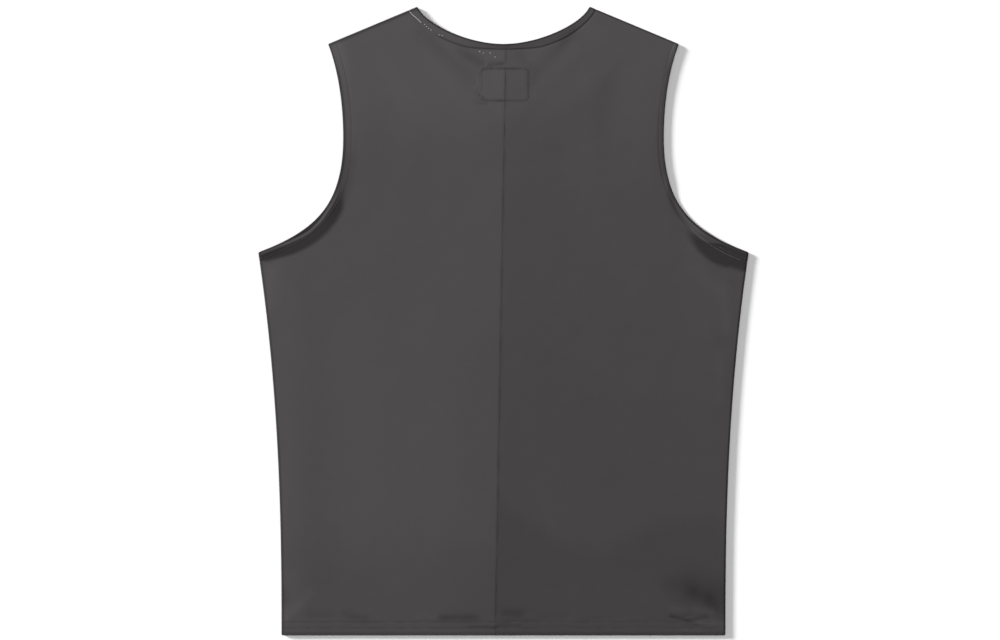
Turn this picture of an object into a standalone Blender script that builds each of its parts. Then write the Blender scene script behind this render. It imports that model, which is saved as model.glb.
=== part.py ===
"""A sleeveless T-shirt of dark jersey, laid flat with its back up.

Metres, +Z up. The neck points to +Y and the shirt lies on z = 0. Its front is the lower layer and its
two-piece back is the upper one, and they meet at the shoulder and side folds, half way up the edge.
Every pattern outline is drawn once, for the side at +X, and mirrored for the other side.
"""

import bmesh
import bpy
import numpy as np

# ---- Sizes of the shirt: half widths from the centre line, drops from the highest shoulder point ----
LENGTH = 0.705
CHEST_HALF = 0.275
HEM_HALF = 0.2489
SIDE_POWER = 2.44
NECK_HALF = 0.0965
SHOULDER_HALF = 0.1967
SHOULDER_DROP = 0.0419
BACK_NECK_DROP = 0.0418
FRONT_NECK_DROP = 0.112
ARMHOLE_HALF = 0.1797
ARMHOLE_HALF_DROP = 0.147
UNDERARM_DROP = 0.2755
UNDERARM_ANGLE = 0.351
FRONT_SCOOP = {-1: 0.0145, 1: 0.0180}
SEAM_TOP = (0.0028, 0.054)
SEAM_FOOT = (-0.0084, 0.671)

# ---- Lengths of the handles that round the neck and armhole curves ----
BACK_NECK_HANDLES = (0.0208, 0.0407)
FRONT_NECK_HANDLES = (0.0480, 0.0640)
UPPER_ARM_HANDLES = (0.0105, 0.0590)
LOWER_ARM_HANDLES = (0.0730, 0.0700)

# ---- Cloth ----
CLOTH = 0.0012
GAP = 0.0003
BAND = 0.0024
BAND_TURNS = (0.12, 0.90)
BAND_DEPTHS = (0.65, 0.30, 0.18)
NECK_BAND = 0.0085
ARM_BAND = 0.0098
HEM_DEPTH = 0.016
EDGE_HEIGHT = 4 * CLOTH + 3 * GAP
ROLL = EDGE_HEIGHT / 2
HEM_OUTER = CLOTH + GAP / 2
HEM_INNER = GAP / 2

# ---- Corners closer than WELD are one corner; TINY keeps a point on a fold line inside it ----
WELD = 1e-7
TINY = 1e-9

# ---- Heights: how far the back stays clear of the front's bands, and how long its slopes are ----
NECK_CLEAR = 0.015
ARM_CLEAR = 0.006
NECK_SLOPES = (0.035, 0.035)
ARM_SLOPES = (0.010, 0.030)
BAND_SHOULDER = 0.002
BAND_SLOPE = 0.024
PUFF = 0.0010
PUFF_SLOPE = 0.050
FOLD_SLOPE = 0.045
HEM_LEVEL = 0.004
HEM_SLOPE = 0.036

# ---- Soft folds of the back: name, x and y of both ends, half width, height (troughs are negative) ----
FOLDS = (
    ("neck left", -0.098, 0.324, -0.042, 0.266, 0.012, -0.0006),
    ("neck middle", -0.051, 0.302, -0.004, 0.286, 0.010, -0.0004),
    ("neck right", 0.070, 0.312, 0.039, 0.280, 0.011, -0.0005),
    ("underarm right", 0.200, 0.097, 0.226, 0.024, 0.016, -0.0006),
    ("side right", 0.222, 0.030, 0.236, -0.020, 0.014, 0.0007),
    ("underarm left", -0.236, 0.040, -0.214, -0.040, 0.018, 0.0007),
    ("hem corner right", 0.200, -0.270, 0.216, -0.292, 0.015, -0.0007),
    ("hem corner left", -0.210, -0.284, -0.190, -0.262, 0.015, 0.0006),
)

# ---- Rows and columns of the cloth's grid ----
ROLL_STEPS = np.array((0.0, 0.13, 0.5, 1.0)) * ROLL
ARMHOLE_ROWS = 18
BACK_NECK_ROWS = 8
FRONT_NECK_ROWS = 11
SIDE_ROWS = 8
ABOVE_HEM = (0.030, 0.016, 0.003)
UNDERARM_FAN = 0.008
FAN_DROP = 0.050
FROM_CENTRE = (0.0, 0.007, 0.016, 0.028)
FROM_EDGE = (0.030, 0.020, 0.011)
MIDDLE_COLUMNS = 7
HEM_ARC = np.radians((45.0, 90.0, 135.0, 180.0))
HEM_RETURN = (0.5, 1.0)
CURVE_POINTS = 40
EXTENSION = 0.012

TOP_Y = LENGTH / 2
HEM_Y = -LENGTH / 2
NECK_POINT = np.array((NECK_HALF, TOP_Y))
SHOULDER_POINT = np.array((SHOULDER_HALF, TOP_Y - SHOULDER_DROP))
UNDERARM_POINT = np.array((CHEST_HALF, TOP_Y - UNDERARM_DROP))
SHOULDER_LINE = (SHOULDER_POINT - NECK_POINT) / np.linalg.norm(SHOULDER_POINT - NECK_POINT)
SHOULDER_NORMAL = np.array((-SHOULDER_LINE[1], SHOULDER_LINE[0]))

CLOTH_COLOUR = (0.075, 0.070, 0.072, 1.0)
CLOTH_ROUGHNESS = 0.92


# ---- Lines in the plan of the shirt ----
def smooth(t):
    """Rises from 0 to 1 with level ends."""
    t = np.clip(t, 0.0, 1.0)
    return t * t * (3.0 - 2.0 * t)


def bezier(start, start_handle, end_handle, end):
    t = np.linspace(0.0, 1.0, CURVE_POINTS)[:, None]
    rest = 1.0 - t
    ends = rest ** 3 * start + t ** 3 * end
    return ends + 3 * rest ** 2 * t * start_handle + 3 * rest * t ** 2 * end_handle


def extended(line):
    """The line with a straight stretch added at both ends."""
    first = line[0] + (line[0] - line[1]) / np.linalg.norm(line[0] - line[1]) * EXTENSION
    last = line[-1] + (line[-1] - line[-2]) / np.linalg.norm(line[-1] - line[-2]) * EXTENSION
    return np.vstack((first, line, last))


def lengths(line):
    return np.concatenate(((0.0,), np.cumsum(np.linalg.norm(np.diff(line, axis=0), axis=1))))


def at(line, distances):
    """Points of the line at these distances along it."""
    along = lengths(line)
    return np.column_stack([np.interp(distances, along, line[:, axis]) for axis in (0, 1)])


def moved_in(line, amount):
    """The line moved towards the cloth, which is on its right-hand side."""
    ahead = np.gradient(line, axis=0)
    ahead /= np.linalg.norm(ahead, axis=1)[:, None]
    return line + np.column_stack((ahead[:, 1], -ahead[:, 0])) * np.reshape(amount, (-1, 1))


def trimmed(line, inside):
    """The stretch of the line where inside(points) is positive, cut off exactly at its ends."""
    value = inside(line)
    kept = np.flatnonzero(value > 0.0)
    first, last = kept[0], kept[-1]

    def crossing(i):
        return line[i] + (line[i + 1] - line[i]) * value[i] / (value[i] - value[i + 1])

    return np.vstack((crossing(first - 1), line[first:last + 1], crossing(last)))


def distance_in(points, line):
    """Distance of each point from the line, positive on the cloth's side."""
    start, run = line[:-1], np.diff(line, axis=0)
    away = points[:, None, :] - start[None]
    part = np.clip((away * run).sum(2) / (run ** 2).sum(1), 0.0, 1.0)
    gap = np.linalg.norm(away - part[..., None] * run, axis=2)
    nearest = gap.argmin(axis=1)
    rows = np.arange(len(points))
    cross = run[nearest, 0] * away[rows, nearest, 1] - run[nearest, 1] * away[rows, nearest, 0]
    return np.where(cross > 0.0, -1.0, 1.0) * gap[rows, nearest]


# ---- The pattern ----
def side_half(y):
    """Half width of the body at y, from the underarm down to the hem."""
    rise = np.clip((y - HEM_Y) / (UNDERARM_POINT[1] - HEM_Y), 0.0, 1.0)
    return HEM_HALF + (CHEST_HALF - HEM_HALF) * rise ** SIDE_POWER


def from_shoulder(points):
    across = np.column_stack((np.abs(points[:, 0]), points[:, 1]))
    return -(across - NECK_POINT) @ SHOULDER_NORMAL


def from_side(points):
    step = 1e-4
    slope = (side_half(points[:, 1] + step) - side_half(points[:, 1] - step)) / (2 * step)
    return (side_half(points[:, 1]) - points[:, 0]) / np.sqrt(1.0 + slope ** 2)


def from_fold(points):
    return np.minimum(from_shoulder(points), from_side(points))


def neck_line(drop, handles):
    """Neckline from the shoulder at -X, round the centre and up to the shoulder at +X."""
    low = np.array((0.0, TOP_Y - drop))
    half = bezier(low, low + (handles[1], 0.0), NECK_POINT - SHOULDER_NORMAL * handles[0], NECK_POINT)
    return extended(np.vstack((half[:0:-1] * (-1.0, 1.0), half)))


def armhole_line(scoop=0.0):
    """Armhole from the shoulder down to the underarm, cut deeper by the scoop in its lower part."""
    narrow = np.array((ARMHOLE_HALF, TOP_Y - ARMHOLE_HALF_DROP))
    flat = np.array((-np.cos(UNDERARM_ANGLE), np.sin(UNDERARM_ANGLE)))
    upper = bezier(SHOULDER_POINT, SHOULDER_POINT - SHOULDER_NORMAL * UPPER_ARM_HANDLES[0],
                   narrow + (0.0, UPPER_ARM_HANDLES[1]), narrow)
    lower = bezier(narrow, narrow - (0.0, LOWER_ARM_HANDLES[0]),
                   UNDERARM_POINT + flat * LOWER_ARM_HANDLES[1], UNDERARM_POINT)
    line = np.vstack((upper, lower[1:]))
    part = np.linspace(-1.0, 1.0, len(line))
    return extended(moved_in(line, scoop * np.sin(np.pi * np.clip(part, 0.0, 1.0)) ** 2))


BACK_NECK = neck_line(BACK_NECK_DROP, BACK_NECK_HANDLES)
FRONT_NECK = neck_line(FRONT_NECK_DROP, FRONT_NECK_HANDLES)
BACK_ARMHOLE = armhole_line()
FRONT_ARMHOLE = {side: armhole_line(scoop) for side, scoop in FRONT_SCOOP.items()}


def seam_x(y):
    """The centre-back seam, which leans a little to -X on its way down."""
    drop = TOP_Y - y
    return SEAM_TOP[0] + (SEAM_FOOT[0] - SEAM_TOP[0]) * (drop - SEAM_TOP[1]) / (SEAM_FOOT[1] - SEAM_TOP[1])


# ---- Heights ----
def folds(points, side):
    """Height of the soft troughs and ridges at each point."""
    place = points * (side, 1.0)
    height = np.zeros(len(points))
    for _, x0, y0, x1, y1, width, rise in FOLDS:
        run = np.array((x1 - x0, y1 - y0))
        part = np.clip((place - (x0, y0)) @ run / (run @ run), 0.0, 1.0)
        away = np.linalg.norm(place - (x0, y0) - part[:, None] * run, axis=1)
        height += rise * np.exp(-(away / width) ** 2)
    return height


def bed_at(front, band, clear, low, slopes):
    """What the back rests on near an edge of the front: low outside it, then its band, then its cloth."""
    rise = low + (BAND - low) * smooth((front + clear) / slopes[0] + 1.0)
    return rise - (BAND - CLOTH) * smooth((front - band - clear) / slopes[1])


def crown(points, side):
    """Height of the back's upper face, which lies over the floor, the front's bands or the front."""
    own = np.minimum(distance_in(points, BACK_NECK), distance_in(points, BACK_ARMHOLE))
    bed = bed_at(distance_in(points, FRONT_NECK), NECK_BAND, NECK_CLEAR, CLOTH, NECK_SLOPES)
    bed += bed_at(distance_in(points, FRONT_ARMHOLE[side]), ARM_BAND, ARM_CLEAR, 0.0, ARM_SLOPES) - CLOTH
    thick = BAND - (BAND - CLOTH) * smooth((own - ARM_BAND - BAND_SHOULDER) / BAND_SLOPE)
    height = bed + GAP + thick + (PUFF + folds(points, side)) * smooth(own / PUFF_SLOPE)
    by_fold = 1.0 - smooth((from_fold(points) - ROLL) / FOLD_SLOPE)
    by_hem = 1.0 - smooth((points[:, 1] - HEM_Y - HEM_DEPTH - HEM_LEVEL) / HEM_SLOPE)
    edge = np.maximum(by_fold, by_hem)
    return np.minimum(height + (EDGE_HEIGHT - height) * edge, EDGE_HEIGHT)


def lay(points, depth, side, upper, seam=GAP / 2):
    """Plan points of one side as points in space, this deep inside the cloth's outer face.

    Near a shoulder or side fold the cloth rolls round to the seam at half the edge's height.
    """
    away = np.clip(from_fold(points), 0.0, ROLL)
    lean = (ROLL - away) / ROLL
    level = np.sqrt(1.0 - lean ** 2)
    if upper:
        start = ROLL + seam
        height = start + (crown(points, side) - start) * level
        facing = 1.0
    else:
        height = (ROLL - seam) * (1.0 - level)
        facing = -1.0
    by_shoulder = from_shoulder(points) < from_side(points)
    outward = np.where(by_shoulder[:, None], SHOULDER_NORMAL, (1.0, 0.0))
    place = points - outward * (lean * depth)[:, None]
    return np.column_stack((place[:, 0] * side, place[:, 1], height - facing * level * depth))


# ---- The cloth as closed walls ----
def new_object(name, bm):
    bmesh.ops.recalc_face_normals(bm, faces=bm.faces)
    mesh = bpy.data.meshes.new(name)
    bm.to_mesh(mesh)
    bm.free()
    mesh.shade_smooth()
    mesh.set_sharp_from_angle(angle=np.radians(40.0))
    material = bpy.data.materials.new(name)
    material.use_nodes = True
    shader = material.node_tree.nodes["Principled BSDF"]
    shader.inputs["Base Color"].default_value = CLOTH_COLOUR
    shader.inputs["Roughness"].default_value = CLOTH_ROUGHNESS
    shader.inputs["Metallic"].default_value = 0.0
    mesh.materials.append(material)
    bpy.context.scene.collection.objects.link(bpy.data.objects.new(name, mesh))


def add_wall(bm, known, outer_rows, inner_rows):
    """Adds a grid of outer faces and its inner twin, and returns which vertex lies under which."""
    def vertex(point, layer):
        key = (layer,) + tuple(int(round(value / WELD)) for value in point)
        if key not in known:
            known[key] = bm.verts.new(point)
        return known[key]

    twin = {}
    grids = []
    for layer, rows in enumerate((outer_rows, inner_rows)):
        grid = [[vertex(point, layer) for point in row] for row in rows]
        for upper, lower in zip(grid, grid[1:]):
            for i in range(len(upper) - 1):
                bm.faces.new((upper[i], upper[i + 1], lower[i + 1], lower[i]))
        grids.append(grid)
    for outer_row, inner_row in zip(*grids):
        twin.update(zip(outer_row, inner_row))
    return twin


def close_rim(bm, twin):
    """Joins the outer sheet's border to the inner sheet's."""
    border = [edge for edge in bm.edges if edge.is_boundary and all(v in twin for v in edge.verts)]
    for edge in border:
        first, second = edge.verts
        bm.faces.new((first, second, twin[second], twin[first]))


def armhole_stations(line):
    total = lengths(line)[-1]
    middle = np.linspace(ROLL, total - ROLL, ARMHOLE_ROWS + 1)
    return np.concatenate((ROLL_STEPS[:-1], middle, total - ROLL_STEPS[-2::-1]))


def across(left, right):
    """Points from the centre to the edge of one row, closer together near both ends."""
    total = np.linalg.norm(right - left)
    middle = np.linspace(FROM_CENTRE[-1], total - FROM_EDGE[0], MIDDLE_COLUMNS + 2)[1:-1]
    distances = np.concatenate((FROM_CENTRE, middle, total - np.array(FROM_EDGE), total - ROLL_STEPS[::-1]))
    return left + (right - left) * (distances / total)[:, None]


def panel_rows(neck, armhole, neck_rows, centre_x):
    """Plan rows of half a panel, from its shoulder down to the hem's fold."""
    neck_edge = trimmed(moved_in(neck, NECK_BAND + GAP), from_shoulder)[::-1]
    neck_edge = trimmed(np.vstack((neck_edge[0] * 2 - neck_edge[1], neck_edge)),
                        lambda points: np.minimum(points[:, 0] - centre_x(points[:, 1]),
                                                  from_shoulder(points) + TINY))
    arm_edge = trimmed(moved_in(armhole, ARM_BAND + GAP), from_fold)

    neck_total = lengths(neck_edge)[-1]
    neck_places = np.concatenate((ROLL_STEPS[:-1], np.linspace(ROLL, neck_total, neck_rows + 1)))
    right = at(arm_edge, armhole_stations(arm_edge))
    fold_y = HEM_Y + HEM_OUTER
    neck_foot = at(neck_edge, neck_places)[-1, 1]
    rest = len(right) - len(neck_places) - 3
    fan_y = UNDERARM_POINT[1] - FAN_DROP
    centre_y = np.concatenate((np.linspace(neck_foot, fan_y + UNDERARM_FAN, rest + 1)[1:],
                               np.linspace(fan_y + UNDERARM_FAN, fan_y - UNDERARM_FAN, 4)[1:]))
    low_y = HEM_Y + HEM_DEPTH + np.array(ABOVE_HEM)
    side_y = np.concatenate((np.linspace(right[-1, 1], low_y[0], SIDE_ROWS + 1)[1:], low_y[1:], (fold_y,)))
    body_y = np.linspace(centre_y[-1], low_y[0], SIDE_ROWS + 1)[1:]
    centre_y = np.concatenate((centre_y, body_y, side_y[SIDE_ROWS:]))
    left = np.vstack((at(neck_edge, neck_places), np.column_stack((centre_x(centre_y), centre_y))))
    right = np.vstack((right, np.column_stack((side_half(side_y), side_y))))
    return [across(start, end) for start, end in zip(left, right)]


def hem_row(y, centre_x):
    return across(np.array((centre_x(y), y)), np.array((side_half(y), y)))


def half_panel(bm, known, side, upper, neck, armhole, neck_rows, centre_x):
    """Half a panel with its hem: down the outside, round the fold and up the turned edge."""
    outer_rows, inner_rows = [], []

    def add(outer_plan, outer_depth, inner_plan, inner_depth):
        outer_rows.append(lay(outer_plan, outer_depth, side, upper))
        inner_rows.append(lay(inner_plan, inner_depth, side, upper))

    for row in panel_rows(neck, armhole, neck_rows, centre_x):
        add(row, 0.0, row, CLOTH)
    for turn in HEM_ARC:
        plans = [hem_row(HEM_Y + HEM_OUTER - radius * np.sin(turn), centre_x)
                 for radius in (HEM_OUTER, HEM_INNER)]
        add(plans[0], HEM_OUTER - HEM_OUTER * np.cos(turn), plans[1], HEM_OUTER - HEM_INNER * np.cos(turn))
    for part in HEM_RETURN:
        row = hem_row(HEM_Y + HEM_OUTER + (HEM_DEPTH - HEM_OUTER) * part, centre_x)
        add(row, 2 * HEM_OUTER, row, HEM_OUTER + HEM_INNER)
    return add_wall(bm, known, outer_rows, inner_rows)


def build_back(side, name):
    bm = bmesh.new()

    def centre_x(y):
        return seam_x(y) * side + GAP / 2

    twin = half_panel(bm, {}, side, True, BACK_NECK, BACK_ARMHOLE, BACK_NECK_ROWS, centre_x)
    close_rim(bm, twin)
    new_object(name, bm)


def build_front():
    bm = bmesh.new()
    known = {}
    twin = {}
    for side in (-1, 1):
        twin.update(half_panel(bm, known, side, False, FRONT_NECK, FRONT_ARMHOLE[side], FRONT_NECK_ROWS,
                               lambda y: y * 0.0))
    close_rim(bm, twin)
    new_object("front", bm)


# ---- The bands ----
def band_profile(width):
    """Cross-section of a band from its free edge inwards: distance from the edge, and depth."""
    edge, shoulder = BAND_TURNS[0] * width, BAND_TURNS[1] * width
    low, high, inner = (share * BAND for share in BAND_DEPTHS)
    return (0.0, low), (0.0, high), (edge, 0.0), (shoulder, 0.0), (width, inner), (width, BAND), (edge, BAND)


def band_row_points(line, width, stations_of, inside, side, upper):
    """One stretch of a band: for each station, its cross-section laid on the shirt."""
    sections = []
    for distance, depth in band_profile(width):
        edge = trimmed(moved_in(line, distance), inside)
        plan = at(edge, stations_of(edge))
        sections.append(lay(plan, depth, side, upper, seam=0.0))
    return [list(points) for points in zip(*sections)]


def ring(name, rows):
    """A closed ring through rows of points, each a closed loop."""
    bm = bmesh.new()
    grid = [[bm.verts.new(point) for point in row] for row in rows]
    for here, there in zip(grid, grid[1:] + grid[:1]):
        for i, point in enumerate(here):
            following = (i + 1) % len(here)
            bm.faces.new((point, here[following], there[following], there[i]))
    new_object(name, bm)


def build_armhole_band(side, name):
    back = band_row_points(BACK_ARMHOLE, ARM_BAND, armhole_stations, from_fold, side, True)
    front = band_row_points(FRONT_ARMHOLE[side], ARM_BAND, armhole_stations, from_fold, side, False)
    ring(name, back + front[-2:0:-1])


def neck_stations(rows):
    """Stations of the half neckline from the centre to the shoulder fold at +X."""
    def places(edge):
        total = lengths(edge)[-1]
        middle = np.linspace(total / 2, total - ROLL, rows + 1)
        return np.concatenate((middle, total - ROLL_STEPS[-2::-1]))
    return places


def build_neck_band():
    rows = []
    for upper, line, count in ((True, BACK_NECK, BACK_NECK_ROWS), (False, FRONT_NECK, FRONT_NECK_ROWS)):
        halves = {side: band_row_points(line, NECK_BAND, neck_stations(count), from_shoulder, side, upper)
                  for side in (-1, 1)}
        stretch = halves[-1][:0:-1] + halves[1]
        rows += stretch if upper else stretch[-2:0:-1]
    ring("neck_band", rows)


def main():
    for old in list(bpy.data.objects):
        bpy.data.objects.remove(old)
    build_front()
    build_back(-1, "back_left")
    build_back(1, "back_right")
    build_neck_band()
    build_armhole_band(-1, "armhole_band_left")
    build_armhole_band(1, "armhole_band_right")


main()
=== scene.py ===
# %% [markdown]
# # A sleeveless jersey T-shirt, laid flat
#
# The shirt lies on its front with its back up, as it would on a table before it is folded. It is made of
# few pieces of cloth: a front, a back in two halves, and three narrow bands round the neck and the
# armholes. A flat shirt could be one plane with a picture on it, but then its folds, seams and layers
# would vanish from the side. Here each cut piece is its own thin shell, drawn from the same few pattern
# sizes that a cutter would use, and it rolls over at the shoulders and sides as the real cloth does.

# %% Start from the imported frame
import math

import bmesh
import bpy
import numpy as np
from mathutils import Matrix, Vector


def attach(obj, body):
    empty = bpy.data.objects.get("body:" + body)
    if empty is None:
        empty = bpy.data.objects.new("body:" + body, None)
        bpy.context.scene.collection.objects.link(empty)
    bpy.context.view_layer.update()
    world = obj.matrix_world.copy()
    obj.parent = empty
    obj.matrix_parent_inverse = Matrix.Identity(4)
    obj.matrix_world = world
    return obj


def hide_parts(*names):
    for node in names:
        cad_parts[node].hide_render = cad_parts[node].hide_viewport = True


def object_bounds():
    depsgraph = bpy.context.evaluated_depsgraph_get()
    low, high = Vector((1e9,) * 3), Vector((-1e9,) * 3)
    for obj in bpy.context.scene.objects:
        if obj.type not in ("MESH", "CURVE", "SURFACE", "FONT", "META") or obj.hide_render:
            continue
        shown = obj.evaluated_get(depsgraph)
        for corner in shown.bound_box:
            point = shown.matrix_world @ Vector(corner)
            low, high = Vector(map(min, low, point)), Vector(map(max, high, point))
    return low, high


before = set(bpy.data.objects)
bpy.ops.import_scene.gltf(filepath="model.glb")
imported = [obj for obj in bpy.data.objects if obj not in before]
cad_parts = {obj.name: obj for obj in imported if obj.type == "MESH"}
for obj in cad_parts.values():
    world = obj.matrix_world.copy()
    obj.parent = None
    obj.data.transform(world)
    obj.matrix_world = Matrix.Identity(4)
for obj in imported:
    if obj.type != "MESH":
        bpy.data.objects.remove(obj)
cad_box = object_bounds()
print("frame box", [[round(value, 4) for value in corner] for corner in cad_box])

# %% [markdown]
# ## The pattern's sizes
#
# A T-shirt pattern is drawn from half widths off the centre line and drops below the highest shoulder
# point. The frame gives the shirt's length, and the other sizes are the same named values that its solids
# were made from. Everything after this cell is worked out from them.

# %% Sizes of the shirt, in metres
LENGTH = round(cad_box[1][1] - cad_box[0][1], 3)
CHEST_HALF = 0.275
HEM_HALF = 0.2489
SIDE_POWER = 2.44
NECK_HALF = 0.0965
SHOULDER_HALF = 0.1967
SHOULDER_DROP = 0.0419
BACK_NECK_DROP = 0.0418
FRONT_NECK_DROP = 0.112
ARMHOLE_HALF = 0.1797
ARMHOLE_HALF_DROP = 0.147
UNDERARM_DROP = 0.2755
UNDERARM_ANGLE = 0.351
FRONT_SCOOP = {-1: 0.0145, 1: 0.0180}
SEAM_TOP = (0.0028, 0.054)
SEAM_FOOT = (-0.0084, 0.671)
BACK_NECK_HANDLES = (0.0208, 0.0407)
FRONT_NECK_HANDLES = (0.0480, 0.0640)
UPPER_ARM_HANDLES = (0.0105, 0.0590)
LOWER_ARM_HANDLES = (0.0730, 0.0700)

EDGE_HEIGHT = round(cad_box[1][2] - cad_box[0][2], 4)
ROLL = EDGE_HEIGHT / 2
GAP = 0.0003
CLOTH = 0.0012
SHELL = 0.0007
BAND = 0.0024
BAND_SHELL = 0.0006
NECK_BAND = 0.0085
ARM_BAND = 0.0098
HEM_DEPTH = 0.016
HEM_OUTER = CLOTH + GAP / 2

TOP_Y = LENGTH / 2
HEM_Y = -LENGTH / 2
NECK_POINT = np.array((NECK_HALF, TOP_Y))
SHOULDER_POINT = np.array((SHOULDER_HALF, TOP_Y - SHOULDER_DROP))
UNDERARM_POINT = np.array((CHEST_HALF, TOP_Y - UNDERARM_DROP))
SHOULDER_LINE = (SHOULDER_POINT - NECK_POINT) / np.linalg.norm(SHOULDER_POINT - NECK_POINT)
SHOULDER_NORMAL = np.array((-SHOULDER_LINE[1], SHOULDER_LINE[0]))
print("length", LENGTH, "edge height", EDGE_HEIGHT)

# %% [markdown]
# ## Lines of the pattern
#
# The neckline and the armholes are smooth curves, so they are Bezier curves with a few handles, as a
# tailor's French curve would give. A line can be moved in by a seam's width, cut off at the shoulder or
# the side, and read at any distance along it. The armholes of the front are cut deeper than those of the
# back, which is why the back sags to the table beside them.

# %% Curves and distances in plan
def smooth(t):
    """Rises from 0 to 1 with level ends."""
    t = np.clip(t, 0.0, 1.0)
    return t * t * (3.0 - 2.0 * t)


def ramp(value, start, end):
    """0 before start, 1 past end and smooth between them. It falls if end is less than start."""
    return smooth((value - start) / (end - start))


def hill(away, width):
    """1 where away is 0, and less on both sides, like the section of a soft fold."""
    return np.exp(-(away / width) ** 2)


def bezier(start, start_handle, end_handle, end, count=40):
    t = np.linspace(0.0, 1.0, count)[:, None]
    rest = 1.0 - t
    return (rest ** 3 * start + 3 * rest ** 2 * t * start_handle
            + 3 * rest * t ** 2 * end_handle + t ** 3 * end)


def extended(line, amount=0.012):
    """The line with a straight run of this length added at each end."""
    ends = []
    for end, beside in ((line[0], line[1]), (line[-1], line[-2])):
        ends.append(end + (end - beside) / np.linalg.norm(end - beside) * amount)
    return np.vstack((ends[0], line, ends[1]))


def lengths(line):
    return np.concatenate(((0.0,), np.cumsum(np.linalg.norm(np.diff(line, axis=0), axis=1))))


def at(line, distances):
    along = lengths(line)
    return np.column_stack([np.interp(distances, along, line[:, axis]) for axis in (0, 1)])


def moved_in(line, amount):
    """The line moved towards the cloth, which is on its right-hand side."""
    ahead = np.gradient(line, axis=0)
    ahead /= np.linalg.norm(ahead, axis=1)[:, None]
    return line + np.column_stack((ahead[:, 1], -ahead[:, 0])) * np.reshape(amount, (-1, 1))


def trimmed(line, inside):
    """The stretch of the line where inside(points) is positive, cut off exactly at its ends."""
    value = inside(line)
    kept = np.flatnonzero(value > 0.0)
    first, last = kept[0], kept[-1]

    def cut_after(i):
        return line[i] + (line[i + 1] - line[i]) * value[i] / (value[i] - value[i + 1])

    return np.vstack((cut_after(first - 1), line[first:last + 1], cut_after(last)))


def distance_in(points, line, block=1500):
    """Distance of each point from the line, positive on the cloth's side."""
    if len(points) > block:
        return np.concatenate([distance_in(points[i:i + block], line)
                               for i in range(0, len(points), block)])
    start, run = line[:-1], np.diff(line, axis=0)
    away = points[:, None, :] - start[None]
    part = np.clip((away * run).sum(2) / (run ** 2).sum(1), 0.0, 1.0)
    gap = np.linalg.norm(away - part[..., None] * run, axis=2)
    nearest = gap.argmin(axis=1)
    rows = np.arange(len(points))
    cross = run[nearest, 0] * away[rows, nearest, 1] - run[nearest, 1] * away[rows, nearest, 0]
    return np.where(cross > 0.0, -1.0, 1.0) * gap[rows, nearest]


def segment_distance(points, start, end):
    """Distance of each point from a straight stretch, and how far along it the nearest point is."""
    start, end = np.array(start), np.array(end)
    run = end - start
    part = np.clip((points - start) @ run / (run @ run), 0.0, 1.0)
    return np.linalg.norm(points - start - part[:, None] * run, axis=1), part


# %% The cut of the pieces
def side_half(y):
    rise = np.clip((y - HEM_Y) / (UNDERARM_POINT[1] - HEM_Y), 0.0, 1.0)
    return HEM_HALF + (CHEST_HALF - HEM_HALF) * rise ** SIDE_POWER


def from_shoulder(points):
    across = np.column_stack((np.abs(points[:, 0]), points[:, 1]))
    return -(across - NECK_POINT) @ SHOULDER_NORMAL


SLOPE_STEP = 0.0001


def from_side(points):
    x, y = points.T
    slope = (side_half(y + SLOPE_STEP) - side_half(y - SLOPE_STEP)) / (2 * SLOPE_STEP)
    return (side_half(y) - x) / np.sqrt(1.0 + slope ** 2)


def from_fold(points):
    return np.minimum(from_shoulder(points), from_side(points))


def neck_line(drop, handles):
    low = np.array((0.0, TOP_Y - drop))
    half = bezier(low, low + (handles[1], 0.0), NECK_POINT - SHOULDER_NORMAL * handles[0], NECK_POINT)
    return extended(np.vstack((half[:0:-1] * (-1.0, 1.0), half)))


def armhole_line(scoop=0.0):
    narrow = np.array((ARMHOLE_HALF, TOP_Y - ARMHOLE_HALF_DROP))
    flat = np.array((-math.cos(UNDERARM_ANGLE), math.sin(UNDERARM_ANGLE)))
    upper = bezier(SHOULDER_POINT, SHOULDER_POINT - SHOULDER_NORMAL * UPPER_ARM_HANDLES[0],
                   narrow + (0.0, UPPER_ARM_HANDLES[1]), narrow)
    lower = bezier(narrow, narrow - (0.0, LOWER_ARM_HANDLES[0]),
                   UNDERARM_POINT + flat * LOWER_ARM_HANDLES[1], UNDERARM_POINT)
    line = np.vstack((upper, lower[1:]))
    part = np.clip(np.linspace(-1.0, 1.0, len(line)), 0.0, 1.0)
    return extended(moved_in(line, scoop * np.sin(np.pi * part) ** 2))


def seam_x(y):
    """The centre-back seam, which leans a little to -X on its way down."""
    lean = (SEAM_FOOT[0] - SEAM_TOP[0]) * (TOP_Y - y - SEAM_TOP[1]) / (SEAM_FOOT[1] - SEAM_TOP[1])
    return SEAM_TOP[0] + lean


BACK_NECK = neck_line(BACK_NECK_DROP, BACK_NECK_HANDLES)
FRONT_NECK = neck_line(FRONT_NECK_DROP, FRONT_NECK_HANDLES)
BACK_ARMHOLE = armhole_line()
FRONT_ARMHOLE = {side: armhole_line(scoop) for side, scoop in FRONT_SCOOP.items()}
for name, line in (("neckline", BACK_NECK), ("armhole", BACK_ARMHOLE)):
    print("back", name, round(lengths(line)[-1], 3))

# %% Where the bands end
# The neck's band is turned over at the centre and the right armhole's at its top, so they look narrower
# there. A band's inner line is where it meets the panel.
NECK_TURNED = 0.0064
NECK_OPENS = 0.0034
NECK_RIGHT_LESS = 0.0024
ARM_TOP_LESS = 0.0044


def neck_width(line, side):
    x = np.abs(line[:, 0])
    width = NECK_TURNED + NECK_OPENS * ramp(x, 0.012, 0.045)
    return width - NECK_RIGHT_LESS * ramp(x, 0.060, 0.095) * (side > 0)


def arm_width(line, side):
    return ARM_BAND - ARM_TOP_LESS * ramp(line[:, 1], 0.103, 0.137) * (side > 0)


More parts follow.
